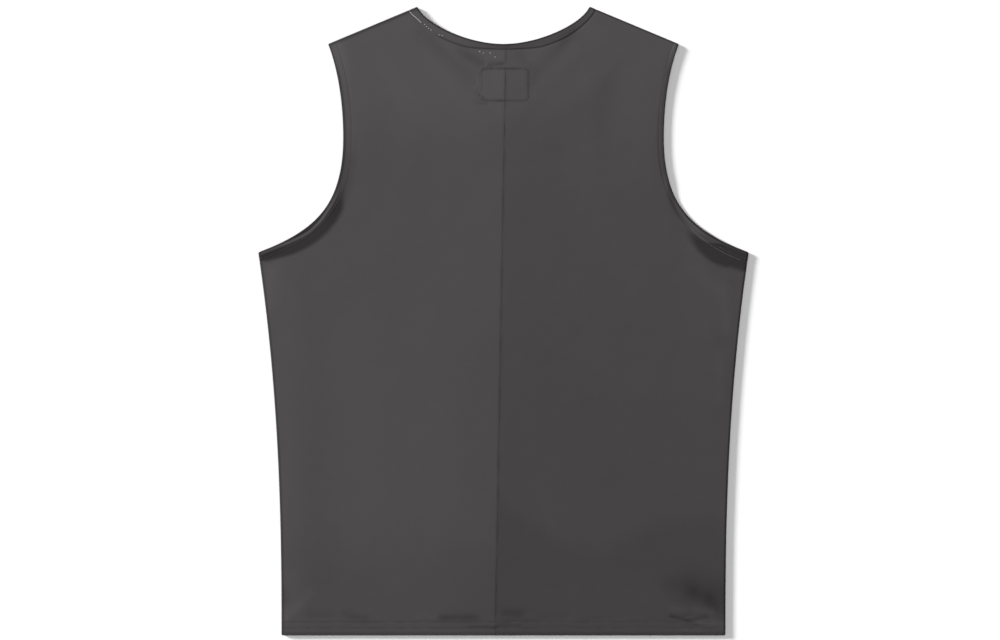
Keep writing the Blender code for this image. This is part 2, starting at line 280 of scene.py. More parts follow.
NECK_WIDTH = {side: neck_width(BACK_NECK, side) for side in (-1, 1)}
ARM_WIDTH = {side: arm_width(BACK_ARMHOLE, side) for side in (-1, 1)}
NECK_INNER = {side: moved_in(BACK_NECK, width) for side, width in NECK_WIDTH.items()}
ARM_INNER = {side: moved_in(BACK_ARMHOLE, width) for side, width in ARM_WIDTH.items()}
print("neck band", round(float(NECK_WIDTH[1].min()), 4), "to", round(float(NECK_WIDTH[1].max()), 4))

# %% [markdown]
# ## Folds, puckers and the sewn patch
#
# Smooth jersey on a table shows few folds, and the eye reads each of them from a slope of a degree or two.
# They are listed: where each starts and ends, how wide it is and how high. A trough has a negative height.
# The patch is a rounded rectangle of stitching under the neck, where something is sewn to the inside: its
# edge stands out a little and its stitches pull the cloth in.

# %% Tables of relief, in metres
FOLDS = (
    # name, x and y of one end, x and y of the other, half width, height
    ("neck left", -0.0915, 0.3200, -0.0350, 0.2680, 0.0070, -0.00042),
    ("neck left low", -0.0335, 0.2640, -0.0210, 0.2490, 0.0022, -0.00022),
    ("neck middle", -0.0450, 0.3010, -0.0240, 0.2915, 0.0050, -0.00042),
    ("above patch", -0.0205, 0.2890, 0.0010, 0.2880, 0.0022, -0.00050),
    ("neck right", 0.0720, 0.3130, 0.0370, 0.2790, 0.0080, -0.00036),
    ("yoke left", -0.0800, 0.2980, -0.0150, 0.2240, 0.0100, 0.00030),
    ("yoke right", 0.0850, 0.2980, 0.0080, 0.2230, 0.0110, 0.00030),
    ("under patch", -0.0330, 0.2460, -0.0180, 0.2430, 0.0020, -0.00022),
    ("shoulder right", 0.1180, 0.2680, 0.1150, 0.2080, 0.0120, -0.00030),
    ("blade left", -0.1650, 0.1900, -0.1000, 0.1100, 0.0220, 0.00025),
    ("armpit left", -0.2500, 0.0560, -0.2280, 0.0280, 0.0100, 0.00035),
    ("armpit right", 0.2110, 0.0350, 0.2350, -0.0200, 0.0110, 0.00042),
    ("armpit right trough", 0.2003, 0.0965, 0.2200, 0.0500, 0.0080, -0.00038),
    ("side right", 0.2500, 0.0450, 0.2480, 0.0150, 0.0060, 0.00035),
    ("side left trough", -0.2000, 0.0000, -0.2000, -0.2200, 0.0160, -0.00022),
    ("side left ridge", -0.1450, 0.0300, -0.1450, -0.2600, 0.0220, 0.00022),
    ("small of back", 0.0500, 0.0200, 0.1100, -0.0900, 0.0300, -0.00022),
    ("seat", 0.0650, -0.1950, 0.0700, -0.2050, 0.0300, 0.00035),
    ("hip right", 0.1300, -0.1900, 0.2300, -0.2150, 0.0200, -0.00030),
    ("hem corner dip", 0.1920, -0.2990, 0.2180, -0.3040, 0.0085, -0.00080),
    ("hem corner dip end", 0.2180, -0.3040, 0.2420, -0.3210, 0.0060, -0.00080),
    ("hem corner swell", 0.1850, -0.3175, 0.2260, -0.3190, 0.0055, 0.00035),
    ("hem left ridge", -0.2410, -0.3300, -0.2140, -0.3040, 0.0080, 0.00030),
)
PUCKERS = (
    # name, x of one end, x of the other, height of the row above the hem, half width, height
    ("far left", -0.2150, -0.1900, 0.0200, 0.0024, -0.00025),
    ("left", -0.1750, -0.1500, 0.0110, 0.0020, -0.00020),
    ("left high", -0.1680, -0.1490, 0.0185, 0.0020, -0.00022),
    ("left middle", -0.0950, -0.0700, 0.0190, 0.0026, 0.00022),
    ("before centre", -0.0620, -0.0320, 0.0188, 0.0028, -0.00042),
    ("at centre low", -0.0420, -0.0150, 0.0088, 0.0018, -0.00030),
    ("at centre", -0.0080, 0.0300, 0.0235, 0.0024, -0.00036),
    ("after centre", 0.0000, 0.0380, 0.0150, 0.0022, -0.00030),
    ("after centre low", -0.0100, 0.0060, 0.0088, 0.0018, -0.00034),
    ("right middle", 0.0450, 0.0750, 0.0195, 0.0026, -0.00030),
    ("right", 0.1020, 0.1300, 0.0185, 0.0024, -0.00024),
    ("right swell", 0.1350, 0.1600, 0.0180, 0.0030, 0.00022),
    ("corner crease", 0.1880, 0.2050, 0.0195, 0.0022, -0.00055),
    ("corner crease end", 0.2050, 0.2310, 0.0215, 0.0020, -0.00050),
    ("corner low", 0.2120, 0.2240, 0.0110, 0.0016, -0.00040),
    ("corner swell", 0.2180, 0.2440, 0.0140, 0.0026, 0.00040),
)
WAVES = (
    # length, direction in degrees, phase, height
    (0.190, 20.0, 0.4, 0.00008),
    (0.118, 105.0, 2.1, 0.00006),
    (0.083, 62.0, 4.0, 0.00004),
    (0.061, 150.0, 1.2, 0.00003),
    (0.047, 12.0, 5.3, 0.00002),
)
PATCH_CENTRE = np.array((0.0014, 0.2649))
PATCH_HALF = np.array((0.0264, 0.0180))
PATCH_CORNER = 0.0050
PATCH_RISE = 0.00016
PUCKER_LEAN = 0.0010
STITCH_DITCH = 0.00020
DITCH_WIDTH = 0.0009
ROPE_HEIGHT = 0.00005
ROPE_ROW, ROPE_WIDTH = 0.0129, 0.0035
HEM_ROWS = (0.0084, 0.0152)
print(len(FOLDS), "folds,", len(PUCKERS), "puckers,", len(WAVES), "long waves")

# %% [markdown]
# ## How high the cloth lies
#
# The back lies on whatever is under it: the table, a band of the front, or the front itself. Its height is
# therefore worked out from its distance to the front's edges. At the hem four layers are stacked, and at
# the shoulders and sides the cloth rolls round to the front in a half circle, so both are the shirt's
# highest places. Every piece is laid with one function, so pieces that are sewn together always meet.

# %% Relief of the back
def patch_distance(points):
    """Distance outside the patch's rounded rectangle, negative inside it."""
    beyond = np.abs(points - PATCH_CENTRE) - (PATCH_HALF - PATCH_CORNER)
    outside = np.linalg.norm(np.maximum(beyond, 0.0), axis=1)
    return outside + np.minimum(beyond.max(axis=1), 0.0) - PATCH_CORNER


def uneven(turns):
    """Half to full strength along a line, as cloth that is fed by hand has."""
    return 0.75 + 0.25 * np.sin(turns)


def relief(place):
    """Folds, long waves, puckers, the patch and the stitch ditches, at points of the real plan."""
    height = np.zeros(len(place))
    for _, x0, y0, x1, y1, width, high in FOLDS:
        away, _ = segment_distance(place, (x0, y0), (x1, y1))
        height += high * hill(away, width)
    for wave, turn, phase, high in WAVES:
        along = place @ (math.cos(math.radians(turn)), math.sin(math.radians(turn)))
        height += high * np.sin(2 * math.pi * along / wave + phase)
    for _, x0, x1, row, width, high in PUCKERS:
        away, part = segment_distance(place, (x0, HEM_Y + row), (x1, HEM_Y + row + PUCKER_LEAN))
        height += high * hill(away, width) * uneven(part * 9.0)
    patch = patch_distance(place)
    return height + PATCH_RISE * ramp(patch, 0.0030, -0.0010) - STITCH_DITCH * hill(patch, DITCH_WIDTH)


def hem_relief(points):
    """The two stitched rows of the hem, and the soft swell of cloth between and beside them."""
    x, up = points[:, 0], points[:, 1] - HEM_Y
    rope = np.sin(x / 0.0026 + 1.5 * np.sin(x / 0.021)) * hill(up - ROPE_ROW, ROPE_WIDTH)
    return ROPE_HEIGHT * rope - STITCH_DITCH * sum(hill(up - row, DITCH_WIDTH) for row in HEM_ROWS)


NECK_CLEAR, ARM_CLEAR = 0.015, 0.006
NECK_SLOPES, ARM_SLOPES = (0.035, 0.050), (0.010, 0.090)
BAND_SHOULDER, BAND_SLOPE = 0.002, 0.050
PUFF, PUFF_SLOPE = 0.0022, 0.090
FOLD_SLOPE, HEM_LEVEL, HEM_SLOPE = 0.070, 0.002, 0.055
CALM_EDGE, CALM_FOLD, CALM_HEM = 0.020, 0.010, 0.004


def bed_at(front, band, clear, low, slopes):
    """What the back rests on near an edge of the front: low outside it, then its band, then its cloth."""
    up = low + (BAND - low) * smooth((front + clear) / slopes[0] + 1.0)
    return up - (BAND - CLOTH) * smooth((front - band - clear) / slopes[1])


def crown(points, side):
    """Height of the back's upper face."""
    own = np.minimum(distance_in(points, BACK_NECK), distance_in(points, BACK_ARMHOLE))
    bed = bed_at(distance_in(points, FRONT_NECK), NECK_BAND, NECK_CLEAR, CLOTH, NECK_SLOPES)
    arm = distance_in(points, FRONT_ARMHOLE[side])
    bed += bed_at(arm, ARM_BAND, ARM_CLEAR, 0.0, ARM_SLOPES) - CLOTH
    thick = BAND - (BAND - CLOTH) * smooth((own - ARM_BAND - BAND_SHOULDER) / BAND_SLOPE)
    base = bed + GAP + thick + PUFF * smooth(own / PUFF_SLOPE)
    fold = from_fold(points)
    by_hem = 1.0 - smooth((points[:, 1] - HEM_Y - HEM_DEPTH - HEM_LEVEL) / HEM_SLOPE)
    height = base + (EDGE_HEIGHT - base) * np.maximum(1.0 - smooth((fold - ROLL) / FOLD_SLOPE), by_hem)
    calm = smooth(own / CALM_EDGE) * smooth(fold / CALM_FOLD)
    return height + relief(points * (side, 1.0)) * calm + hem_relief(points) * smooth(fold / CALM_HEM)


def lay(points, depth, side, upper, seam=GAP / 2):
    """Plan points of one side as points in space, this deep inside the cloth's outer face."""
    away = np.clip(from_fold(points), 0.0, ROLL)
    lean = (ROLL - away) / ROLL
    level = np.sqrt(1.0 - lean ** 2)
    if upper:
        start = ROLL + seam
        height = start + (crown(points, side) - start) * level
        facing = 1.0
    else:
        inward = np.maximum(-hem_relief(points), 0.0)
        height = (ROLL - seam) * (1.0 - level) + inward * level
        facing = -1.0
    by_shoulder = from_shoulder(points) < from_side(points)
    outward = np.where(by_shoulder[:, None], SHOULDER_NORMAL, (1.0, 0.0))
    depth = np.broadcast_to(depth, lean.shape)
    place = points - outward * (lean * depth)[:, None]
    return np.column_stack((place[:, 0] * side, place[:, 1], height - facing * level * depth))


# %% [markdown]
# ## Where the cloth looks darker
#
# A fold line, a seam or a band that lies over a hollow reads as a fine dark line, because little light gets
# in. The relief gives most of that. What is finer than the relief is painted shade, kept as one number at
# each corner of the mesh, from 0 to 1, which the cloth's finish reads later as an attribute. The painted
# shade follows the cloth from any side.

# %% Ridges and sags beside the armholes
# Beside each armhole the back sags off the front's edge, and the sag gets painted shade. SAG_FOOT is the
# line where the sag ends, from the top down. Each band keeps a narrow ridge with a painted highlight, and
# the left one's wanders along the band's middle.
SAG_FOOT = {
    -1: np.array(((0.1780, 0.1520), (0.1800, 0.1392), (0.1806, 0.1260), (0.1868, 0.1130),
                  (0.1975, 0.1003), (0.2080, 0.0907), (0.2200, 0.0830), (0.2352, 0.0757),
                  (0.2475, 0.0725), (0.2587, 0.0693), (0.2760, 0.0655))),
    1: np.array(((0.1850, 0.1300), (0.1925, 0.1180), (0.2014, 0.1040), (0.2095, 0.0925), (0.2198, 0.0793),
                 (0.2324, 0.0680), (0.2464, 0.0620), (0.2576, 0.0606), (0.2760, 0.0548))),
}
SAG_EDGE, SAG_FADE = 0.0010, 0.0048
# Painted shade: how dark the sag is made.
SAG_DARK = 0.95
LEFT_RIDGE = ((0.1970, 0.2060, 0.2170, 0.2280, 0.2408, 0.2540),
              (0.0036, 0.0051, 0.0058, 0.0048, 0.0035, 0.0025))
RIGHT_RIDGE = 0.0037
RIDGE_WIDTH = 0.0010
RIDGE_ENDS = {-1: (0.192, 0.262), 1: (0.186, 0.246)}
RIDGE_FADES = (0.010, 0.016)
# Painted highlight: how much lighter each band's ridge is made.
RIDGE_GAIN = {-1: 0.10, 1: 0.22}


def ridge_at(points, side):
    """How far inside the armhole's edge the band's ridge runs."""
    if side < 0:
        return np.interp(points[:, 0], *LEFT_RIDGE)
    return np.full(len(points), RIGHT_RIDGE)


def ridge(points, side):
    """1 along the painted highlight on the ridge of a band's lower half."""
    along = hill(distance_in(points, BACK_ARMHOLE) - ridge_at(points, side), RIDGE_WIDTH)
    x, (first, last) = points[:, 0], RIDGE_ENDS[side]
    return along * ramp(x, first, first + RIDGE_FADES[0]) * ramp(x, last, last - RIDGE_FADES[1])


def sag(points, side):
    """Painted shade: 1 in the hollow between a back armhole's ridge and the foot of its sag, 0 on the open
    cloth.
    """
    x, y = points.T
    own = distance_in(points, BACK_ARMHOLE)
    foot = distance_in(points, SAG_FOOT[side])
    if side < 0:
        start, early = ridge_at(points, side) + RIDGE_WIDTH, 0.0015
        strength = ramp(y, 0.158, 0.128)
    else:
        start, early = 0.0020 + 0.0080 * ramp(x, 0.250, 0.222), 0.0008
        strength = 0.92 * ramp(x, 0.200, 0.218)
    return ramp(own, start, start + SAG_EDGE) * ramp(foot, SAG_FADE - early, -early) * strength


# %% Shade of the cloth
# Painted shade: how dark and wide it is along the outline, the hem, the seam, the joins and the stitched rows.
OUTLINE = {-1: (0.85, 0.0021), 1: (0.35, 0.0013)}
OUTLINE_FADE = 0.0014
PATCH_TOP_PULLS = ((-0.0194, 0.0050), (0.0045, 0.0080))
PATCH_SIDE_END = 0.014
HEM_LINE = (0.0026, 0.0010)
SEAM_LINE, JOIN_LINE = 0.0017, 0.0008
HEM_DARK, SEAM_DARK, ROWS_DARK = 0.50, 0.45, 0.42
RIGHT_JOIN = ((0.190, 0.197, 0.206, 0.216), (0.50, 0.34, 0.46, 0.58))


def outline_shade(points, side):
    """The dark line along a fold and above the hem: painted shade on the sunny side, and on the other the
    fold's own shade with painted shade added.
    """
    at_side, width = OUTLINE[side]
    strength = np.where(from_shoulder(points) < from_side(points), 1.0, at_side)
    edge = strength * ramp(from_fold(points), width + OUTLINE_FADE, width)
    return np.maximum(edge, HEM_DARK * hill(points[:, 1] - HEM_Y - HEM_LINE[0], HEM_LINE[1]))


def patch_shade(place):
    """Painted shade along the patch's stitched line, where it is pulled in: darkest along its top, and for a
    little way below.
    """
    x, up = place[:, 0], place[:, 1] - PATCH_CENTRE[1]
    top = 0.40 + 0.45 * sum(smooth(2.0 - np.abs(x - pull) / half) for pull, half in PATCH_TOP_PULLS)
    foot = 0.34 + 0.56 * hill(x + 0.0030, 0.0075)
    beside = np.where(x < PATCH_CENTRE[0], 0.50 * ramp(up, -0.010, -0.004), 0.40)
    strength = np.where(up > PATCH_SIDE_END, top, np.where(up < -PATCH_SIDE_END, foot, beside))
    return np.minimum(strength, 0.9) * hill(patch_distance(place), 0.0012)


def neck_join(x, centre, more):
    """How dark the painted shade along the join of the neck's band is, from its centre outwards. It ends at the
    left shoulder.
    """
    return (centre + more * ramp(np.abs(x), 0.006, 0.016)) * ramp(x, -0.080, -0.068)


def arm_join(points, side):
    """How dark the painted shade along the join of the right armhole's band is on its lower curve."""
    x, y = points.T
    return np.interp(x, *RIGHT_JOIN) * ramp(y, 0.158, 0.138) * ramp(x, 0.226, 0.214) * (side > 0)


def back_shade(points, side):
    """Painted shade on the back: its outline, the sags by the armholes, the seams and the stitched rows."""
    x, y = points[:, 0] * side, points[:, 1]
    rows = sum(hill(y - HEM_Y - row, JOIN_LINE) for row in HEM_ROWS)
    parts = (
        SAG_DARK * sag(points, side),
        outline_shade(points, side),
        patch_shade(points * (side, 1.0)),
        neck_join(x, 0.35, 0.45) * hill(distance_in(points, NECK_INNER[side]) - 0.0003, JOIN_LINE),
        arm_join(points, side) * hill(distance_in(points, ARM_INNER[side]), JOIN_LINE),
        SEAM_DARK * hill(x - seam_x(y), SEAM_LINE) * uneven(y / 0.0083 + 2.0 * np.sin(y / 0.031)),
        ROWS_DARK * rows * (0.5 + 0.5 * np.sin(x / 0.0053 + 3.0 * np.sin(x / 0.017))),
    )
    return np.max(parts, axis=0)


# %% Tone of the cloth
# Tone is painted light and shade. The light falls from the upper left, so the yoke is painted a little
# lighter than the body, the seat darker and the right half darker than the left. 1 is the middle of the
# left half. The table adds the painted shade and highlights of each fold and pucker beyond its slope: a
# crease lightens or darkens along its length.
PAINTED_FOLD_SHADING = (
    # name, x and y of one end, x and y of the other, half width, gain
    ("neck left", -0.0892, 0.3221, -0.0376, 0.2739, 0.0056, -0.11),
    ("neck wedge", -0.0421, 0.2986, -0.0264, 0.2896, 0.0052, -0.19),
    ("above patch", -0.0163, 0.2873, -0.0017, 0.2879, 0.0022, -0.38),
    ("beside patch", -0.0331, 0.2705, -0.0275, 0.2537, 0.0013, -0.14),
    ("beside patch low", -0.0275, 0.2537, -0.0185, 0.2475, 0.0013, -0.22),
    ("below patch", -0.0309, 0.2447, -0.0185, 0.2430, 0.0016, -0.15),
    ("neck right", 0.0780, 0.3210, 0.0297, 0.2671, 0.0067, -0.10),
    ("neck right high", 0.0780, 0.3244, 0.0657, 0.3132, 0.0039, -0.12),
    ("right of patch", 0.0185, 0.2963, 0.0342, 0.2795, 0.0067, -0.09),
    ("shoulder light right", 0.0881, 0.3311, 0.1083, 0.3221, 0.0101, 0.05),
    ("shoulder blade", 0.1195, 0.2570, 0.1151, 0.2054, 0.0224, -0.035),
    ("armpit right", 0.2239, 0.0281, 0.2284, 0.0034, 0.0112, 0.08),
    ("below sag right", 0.1992, 0.0876, 0.2105, 0.0595, 0.0073, 0.07),
    ("below sag right low", 0.2138, 0.0539, 0.2385, 0.0359, 0.0090, 0.06),
    ("side right", 0.2520, 0.0370, 0.2486, -0.0101, 0.0056, 0.12),
    ("side right low", 0.2419, -0.0382, 0.2396, -0.0887, 0.0056, 0.08),
    ("armpit left", -0.2643, 0.0516, -0.2598, 0.0236, 0.0101, 0.10),
    ("side left", -0.1947, 0.0348, -0.1925, -0.3019, 0.0180, -0.02),
    ("waist left", -0.1353, 0.0011, -0.1353, -0.2683, 0.0202, 0.01),
    ("hem left edge", -0.2352, -0.2851, -0.2329, -0.3266, 0.0101, 0.08),
    ("hem left light", -0.2430, -0.3322, -0.2161, -0.3053, 0.0051, 0.13),
    ("hem left dark", -0.2453, -0.2997, -0.2464, -0.3165, 0.0036, -0.16),
    ("hem far left", -0.2194, -0.3266, -0.1947, -0.3289, 0.0051, -0.11),
    ("hem left", -0.1779, -0.3278, -0.1543, -0.3345, 0.0049, -0.17),
    ("hem before seam", -0.0690, -0.3322, -0.0309, -0.3334, 0.0047, -0.29),
    ("hem before seam low", -0.0376, -0.3435, -0.0051, -0.3435, 0.0018, -0.3),
    ("hem after seam", 0.0017, -0.3266, 0.0185, -0.3278, 0.0052, -0.24),
    ("hem after seam low", -0.0039, -0.3401, 0.0185, -0.3412, 0.0022, -0.16),
    ("corner haze", 0.2071, -0.2974, 0.2475, -0.3064, 0.0191, -0.25),
    ("corner dark", 0.2105, -0.3042, 0.2284, -0.3098, 0.0090, -0.24),
    ("corner dark end", 0.2295, -0.3109, 0.2441, -0.3233, 0.0070, -0.27),
    ("corner light left", 0.1891, -0.3221, 0.2026, -0.3233, 0.0039, 0.20),
    ("corner light right", 0.2138, -0.3233, 0.2340, -0.3255, 0.0036, 0.24),
    ("corner light low", 0.2206, -0.3379, 0.2441, -0.3390, 0.0036, 0.28),
    ("corner light foot", 0.1981, -0.3468, 0.2206, -0.3468, 0.0015, 0.16),
    ("corner crease", 0.1891, -0.3311, 0.2071, -0.3356, 0.0022, -0.38),
    ("corner crease right", 0.2082, -0.3345, 0.2295, -0.3311, 0.0021, -0.32),
    ("corner crease low", 0.2138, -0.3412, 0.2228, -0.3412, 0.0013, -0.20),
)
SEAT_EDGE = ((0.002, 0.030, 0.063, 0.086, 0.108, 0.131, 0.164, 0.200, 0.243),
             (-0.186, -0.207, -0.229, -0.240, -0.241, -0.232, -0.213, -0.205, -0.204))
SEAT_FADE = 0.036
# Painted light and shade: how much darker the right half is, and what each part gains or loses.
RIGHT_LEVEL = 0.83
YOKE_GAIN, FLANK_GAIN, SHOULDER_GAIN, JOIN_GAIN = 0.17, 0.06, 0.30, 0.09
SEAT_LOSS, MIDDLE_LOSS, HAZE_LOSS, TURNED_LOSS = 0.13, 0.07, 0.25, 0.30
JOIN_LIGHT = ((0.190, 0.197, 0.206), (0.0082, 0.0097, 0.0112))


def left_tone(x, y, own):
    """Painted light on the left half: a lighter yoke, a darker seat, a painted highlight at the shoulder and
    painted shade by the armhole.
    """
    tone = 1.0 + YOKE_GAIN * ramp(y, 0.150, 0.300) - SEAT_LOSS * ramp(y, -0.200, -0.310)
    tone -= MIDDLE_LOSS * ramp(x, -0.090, -0.010) * ramp(y, 0.150, -0.100)
    tone += FLANK_GAIN * ramp(x, -0.215, -0.245) * ramp(y, 0.080, 0.060)
    tone += SHOULDER_GAIN * hill(own - 0.0085, 0.0075) * ramp(y, 0.240, 0.325)
    haze = ramp(y, 0.225, 0.160) * ramp(y, 0.100, 0.130) * ramp(own, 0.021, 0.009)
    return tone * (1.0 - HAZE_LOSS * haze)


def right_tone(x, y, own):
    """Painted light on the right half: a lighter yoke, a dark seat, a painted highlight by the join and painted
    shade on the turned strip.
    """
    tone = RIGHT_LEVEL + 0.04 * np.clip(y / 0.100, -1.0, 1.0) + YOKE_GAIN * ramp(y, 0.100, 0.300)
    edge = np.interp(x, *SEAT_EDGE)
    tone *= 1.0 - SEAT_LOSS * ramp(y, edge, edge - SEAT_FADE)
    beside_join = hill(own - np.interp(x, *JOIN_LIGHT), 0.0018)
    tone += JOIN_GAIN * beside_join * ramp(x, 0.184, 0.190) * ramp(x, 0.214, 0.206)
    turned = ramp(y, 0.140, 0.170) * (1.0 - 0.8 * ramp(y, 0.278, 0.304))
    strip = 0.0056 + 0.0012 * ramp(y, 0.245, 0.225)
    return tone * (1.0 - TURNED_LOSS * turned * ramp(own, strip + 0.0010, strip))


def back_tone(points, side):
    """Painted light and shade of the back, with what each fold's painted shading adds to its half."""
    place = points * (side, 1.0)
    half_tone = left_tone if side < 0 else right_tone
    tone = half_tone(*place.T, distance_in(points, BACK_ARMHOLE))
    for _, x0, y0, x1, y1, width, gain in PAINTED_FOLD_SHADING:
        away, _ = segment_distance(place, (x0, y0), (x1, y1))
        tone *= 1.0 + gain * hill(away, width)
    return tone


def even(value):
    """A shade or tone that is the same all over a piece."""
    return lambda points, side: np.full(len(points), value)


# %% [markdown]
# ## From rows of points to a sheet of cloth
#
# Each panel is a grid: its rows run from the centre line out to the armhole or the side, and a few more
# rows turn under at the hem. Blender makes the flat grid, and its corners are then moved to the places
# that the pattern gives, which keeps the mesh even and all of four-sided faces. A Solidify modifier gives
# the cloth its thickness on the inside, so the outer face stays exactly where it was laid.

# %% Grids that become cloth
WELD = 0.000001


def new_mesh(name, bm):
    mesh = bpy.data.meshes.new(name)
    bm.to_mesh(mesh)
    bm.free()
    return mesh


def new_object(name, data):
    thing = bpy.data.objects.new(name, data)
    bpy.context.scene.collection.objects.link(thing)
    return thing


def grid_mesh(name, places, uvs, shades, tones, faces_up):
    """A grid with its corners at places, which has the shape (rows, columns, 3)."""
    rows, columns = places.shape[:2]
    bm = bmesh.new()
    bmesh.ops.create_grid(bm, x_segments=columns - 1, y_segments=rows - 1, size=1.0)
    mesh = new_mesh(name, bm)
    mesh.vertices.foreach_set("co", places.reshape(-1))
    corners = np.zeros(len(mesh.loops), dtype=np.int32)
    mesh.loops.foreach_get("vertex_index", corners)
    mesh.uv_layers.new(name="cloth").data.foreach_set("uv", uvs.reshape(-1, 2)[corners].reshape(-1))
    for attribute, values in (("shade", shades), ("tone", tones)):
        mesh.attributes.new(attribute, "FLOAT", "POINT").data.foreach_set("value", values.reshape(-1))
    mesh.update()
    middle = mesh.polygons[(rows // 2) * (columns - 1) + columns // 2]
    if (middle.normal.z > 0.0) != faces_up:
        mesh.flip_normals()
    return mesh


def joined(name, meshes):
    """One object from several meshes, with the corners that meet merged."""
    bm = bmesh.new()
    for mesh in meshes:
        bm.from_mesh(mesh)
    before = len(bm.verts)
    bmesh.ops.remove_doubles(bm, verts=bm.verts, dist=WELD)
    merged = before - len(bm.verts)
    whole = new_mesh(name, bm)
    whole.shade_smooth()
    print(name, len(whole.polygons), "faces,", merged, "corners merged")
    return new_object(name, whole)


# %% Rows and columns
ROLL_STEPS = ROLL * (1.0 - np.cos(np.linspace(0.0, math.pi / 2, 8)))
TUCK = 0.0030
# A panel lies SINK deep under a band, and JOIN_SINK deep just beside the band's edge.
SINK = 0.0007
JOIN_SINK = {"neck": 0.00025, -1: 0.00003, 1: 0.00015}
FAN_DROP = 0.050
FAN = 0.008
NECK_SHARE = 8 / 18
PATCH_TOP, PATCH_FOOT = TOP_Y - 0.058, TOP_Y - 0.110
HEM_ZONE = 0.0224
HEM_INSIDE = 0.002
NECK_STEP, PATCH_STEP, BODY_STEP, HEM_STEP, TURNED_STEP = 0.0025, 0.0010, 0.0035, 0.0007, 0.0018
HEM_TURNS = np.linspace(0.0, math.pi, 9)[1:]
TURNED_SHADE = 0.15
TINY = 1e-9


def steps(start, end, step):
    """Evenly spaced values from start to end, about a step apart, without the first."""
    count = max(1, round(abs(end - start) / step))
    return np.linspace(start, end, count + 1)[1:]


def across(left, right, centre_steps, edge_steps, middle):
    """Points from the centre to the edge of one row, closer together near both ends."""
    total = np.linalg.norm(right - left)
    inner = np.linspace(centre_steps[-1], total - edge_steps[0], middle + 2)[1:-1]
    distances = np.concatenate((centre_steps, inner, total - edge_steps, total - ROLL_STEPS[::-1]))
    return left + (right - left) * (distances / total)[:, None]


def panel_ends(neck, armhole, widths, centre_x, fine):
    """The centre end and the outer end of each row, from the shoulder to the hem's fold."""
    neck_edge = trimmed(moved_in(neck, widths[0] - TUCK), from_shoulder)[::-1]
    neck_edge = np.vstack((neck_edge[0] * 2 - neck_edge[1], neck_edge))
    neck_edge = trimmed(neck_edge, lambda points: np.minimum(points[:, 0] - centre_x(points[:, 1]),
                                                             from_shoulder(points) + TINY))
    arm_edge = trimmed(moved_in(armhole, widths[1] - TUCK), from_fold)
    neck_total, arm_total = lengths(neck_edge)[-1], lengths(arm_edge)[-1]
    neck_places = np.concatenate((ROLL_STEPS, steps(ROLL, neck_total, NECK_STEP * fine)))

    foot = neck_edge[-1, 1]
    fan_y = UNDERARM_POINT[1] - FAN_DROP
    low_y = HEM_Y + HEM_ZONE
    if foot < PATCH_TOP:
        above_fan = [steps(foot, fan_y + FAN, BODY_STEP * fine)]
    else:
        above_fan = [steps(foot, PATCH_TOP, NECK_STEP * fine), steps(PATCH_TOP, PATCH_FOOT, PATCH_STEP * fine),
                     steps(PATCH_FOOT, fan_y + FAN, BODY_STEP * fine)]
    centre_y = np.concatenate((*above_fan, fan_y + FAN - 2 * FAN * (ROLL_STEPS / ROLL)[1:]))
    body_y = steps(centre_y[-1], low_y, BODY_STEP * fine)
    hem_y = steps(low_y, HEM_Y + HEM_OUTER, HEM_STEP * fine)

    knots = (0.0, ROLL, neck_total, neck_total + foot - fan_y - FAN, neck_total + foot - fan_y + FAN)
    arm_knots = (0.0, ROLL, ROLL + NECK_SHARE * (arm_total - 2 * ROLL), arm_total - ROLL, arm_total)
    travelled = np.concatenate((neck_places, neck_total + foot - centre_y))
    right = at(arm_edge, np.interp(travelled, knots, arm_knots))
    side_y = np.concatenate((np.interp(body_y, (low_y, centre_y[-1]), (low_y, right[-1, 1])), hem_y))
    centre_y = np.concatenate((centre_y, body_y, hem_y))
    left = np.vstack((at(neck_edge, neck_places), np.column_stack((centre_x(centre_y), centre_y))))
    right = np.vstack((right, np.column_stack((side_half(side_y), side_y))))
    return left, right


def sunk(own, at_join):
    """How far a panel lies below its bands' face: all the way under a band, a little just beside it."""
    return at_join * ramp(own, 0.0032, 0.0002) + (SINK - at_join) * ramp(own, 0.0, -0.0016)


def half_panel(name, side, upper, lines, widths, centre_x, columns, fine, looks):
    """Half a panel with its hem: down the outside, round the fold and up the turned edge."""
    neck, armhole = lines
    left, right = panel_ends(neck, armhole, widths, centre_x, fine)
    plan = np.array([across(start, end, *columns) for start, end in zip(left, right)])
    flat = plan.reshape(-1, 2)
    sink = np.maximum(sunk(distance_in(flat, moved_in(neck, widths[0])), JOIN_SINK["neck"]),
                      sunk(distance_in(flat, moved_in(armhole, widths[1])), JOIN_SINK[side]))
    places = [lay(flat, sink, side, upper).reshape(*plan.shape[:2], 3)]
    shades, tones = [[look(flat, side).reshape(plan.shape[:2])] for look in looks]
    travel = [plan[..., 1]]

    fold_y = HEM_Y + HEM_OUTER
    turned = [(fold_y - HEM_OUTER * math.sin(turn), HEM_OUTER - HEM_OUTER * math.cos(turn), HEM_OUTER * turn)
              for turn in HEM_TURNS]
    turned += [(y, 2 * HEM_OUTER, HEM_OUTER * math.pi + y - fold_y)
               for y in steps(fold_y, HEM_Y + HEM_DEPTH + HEM_INSIDE, TURNED_STEP * fine)]
    for y, depth, travelled in turned:
        row = across(np.array((centre_x(y), y)), np.array((side_half(y), y)), *columns)
        places.append(lay(row, depth, side, upper)[None])
        shades.append(np.full((1, len(row)), TURNED_SHADE))
        tones.append(tones[0][-1:])
        travel.append(np.full((1, len(row)), fold_y - travelled))
        plan = np.concatenate((plan, row[None]))
    places, shades, tones, travel = (np.concatenate(part) for part in (places, shades, tones, travel))
    return grid_mesh(name, places, np.stack((plan[..., 0] * side, travel), axis=-1), shades, tones, upper)


# %% [markdown]
# ## The back, in two halves
#
# A seam runs down the middle of the back. The halves are separate pieces that press into each other by a
# hair's breadth, so that no light comes up between them, and each sinks a little towards the seam, which
# makes it look sewn and not drawn. Columns lie closer together near the seam, because the stitched patch
# beside it needs corners a millimetre apart.

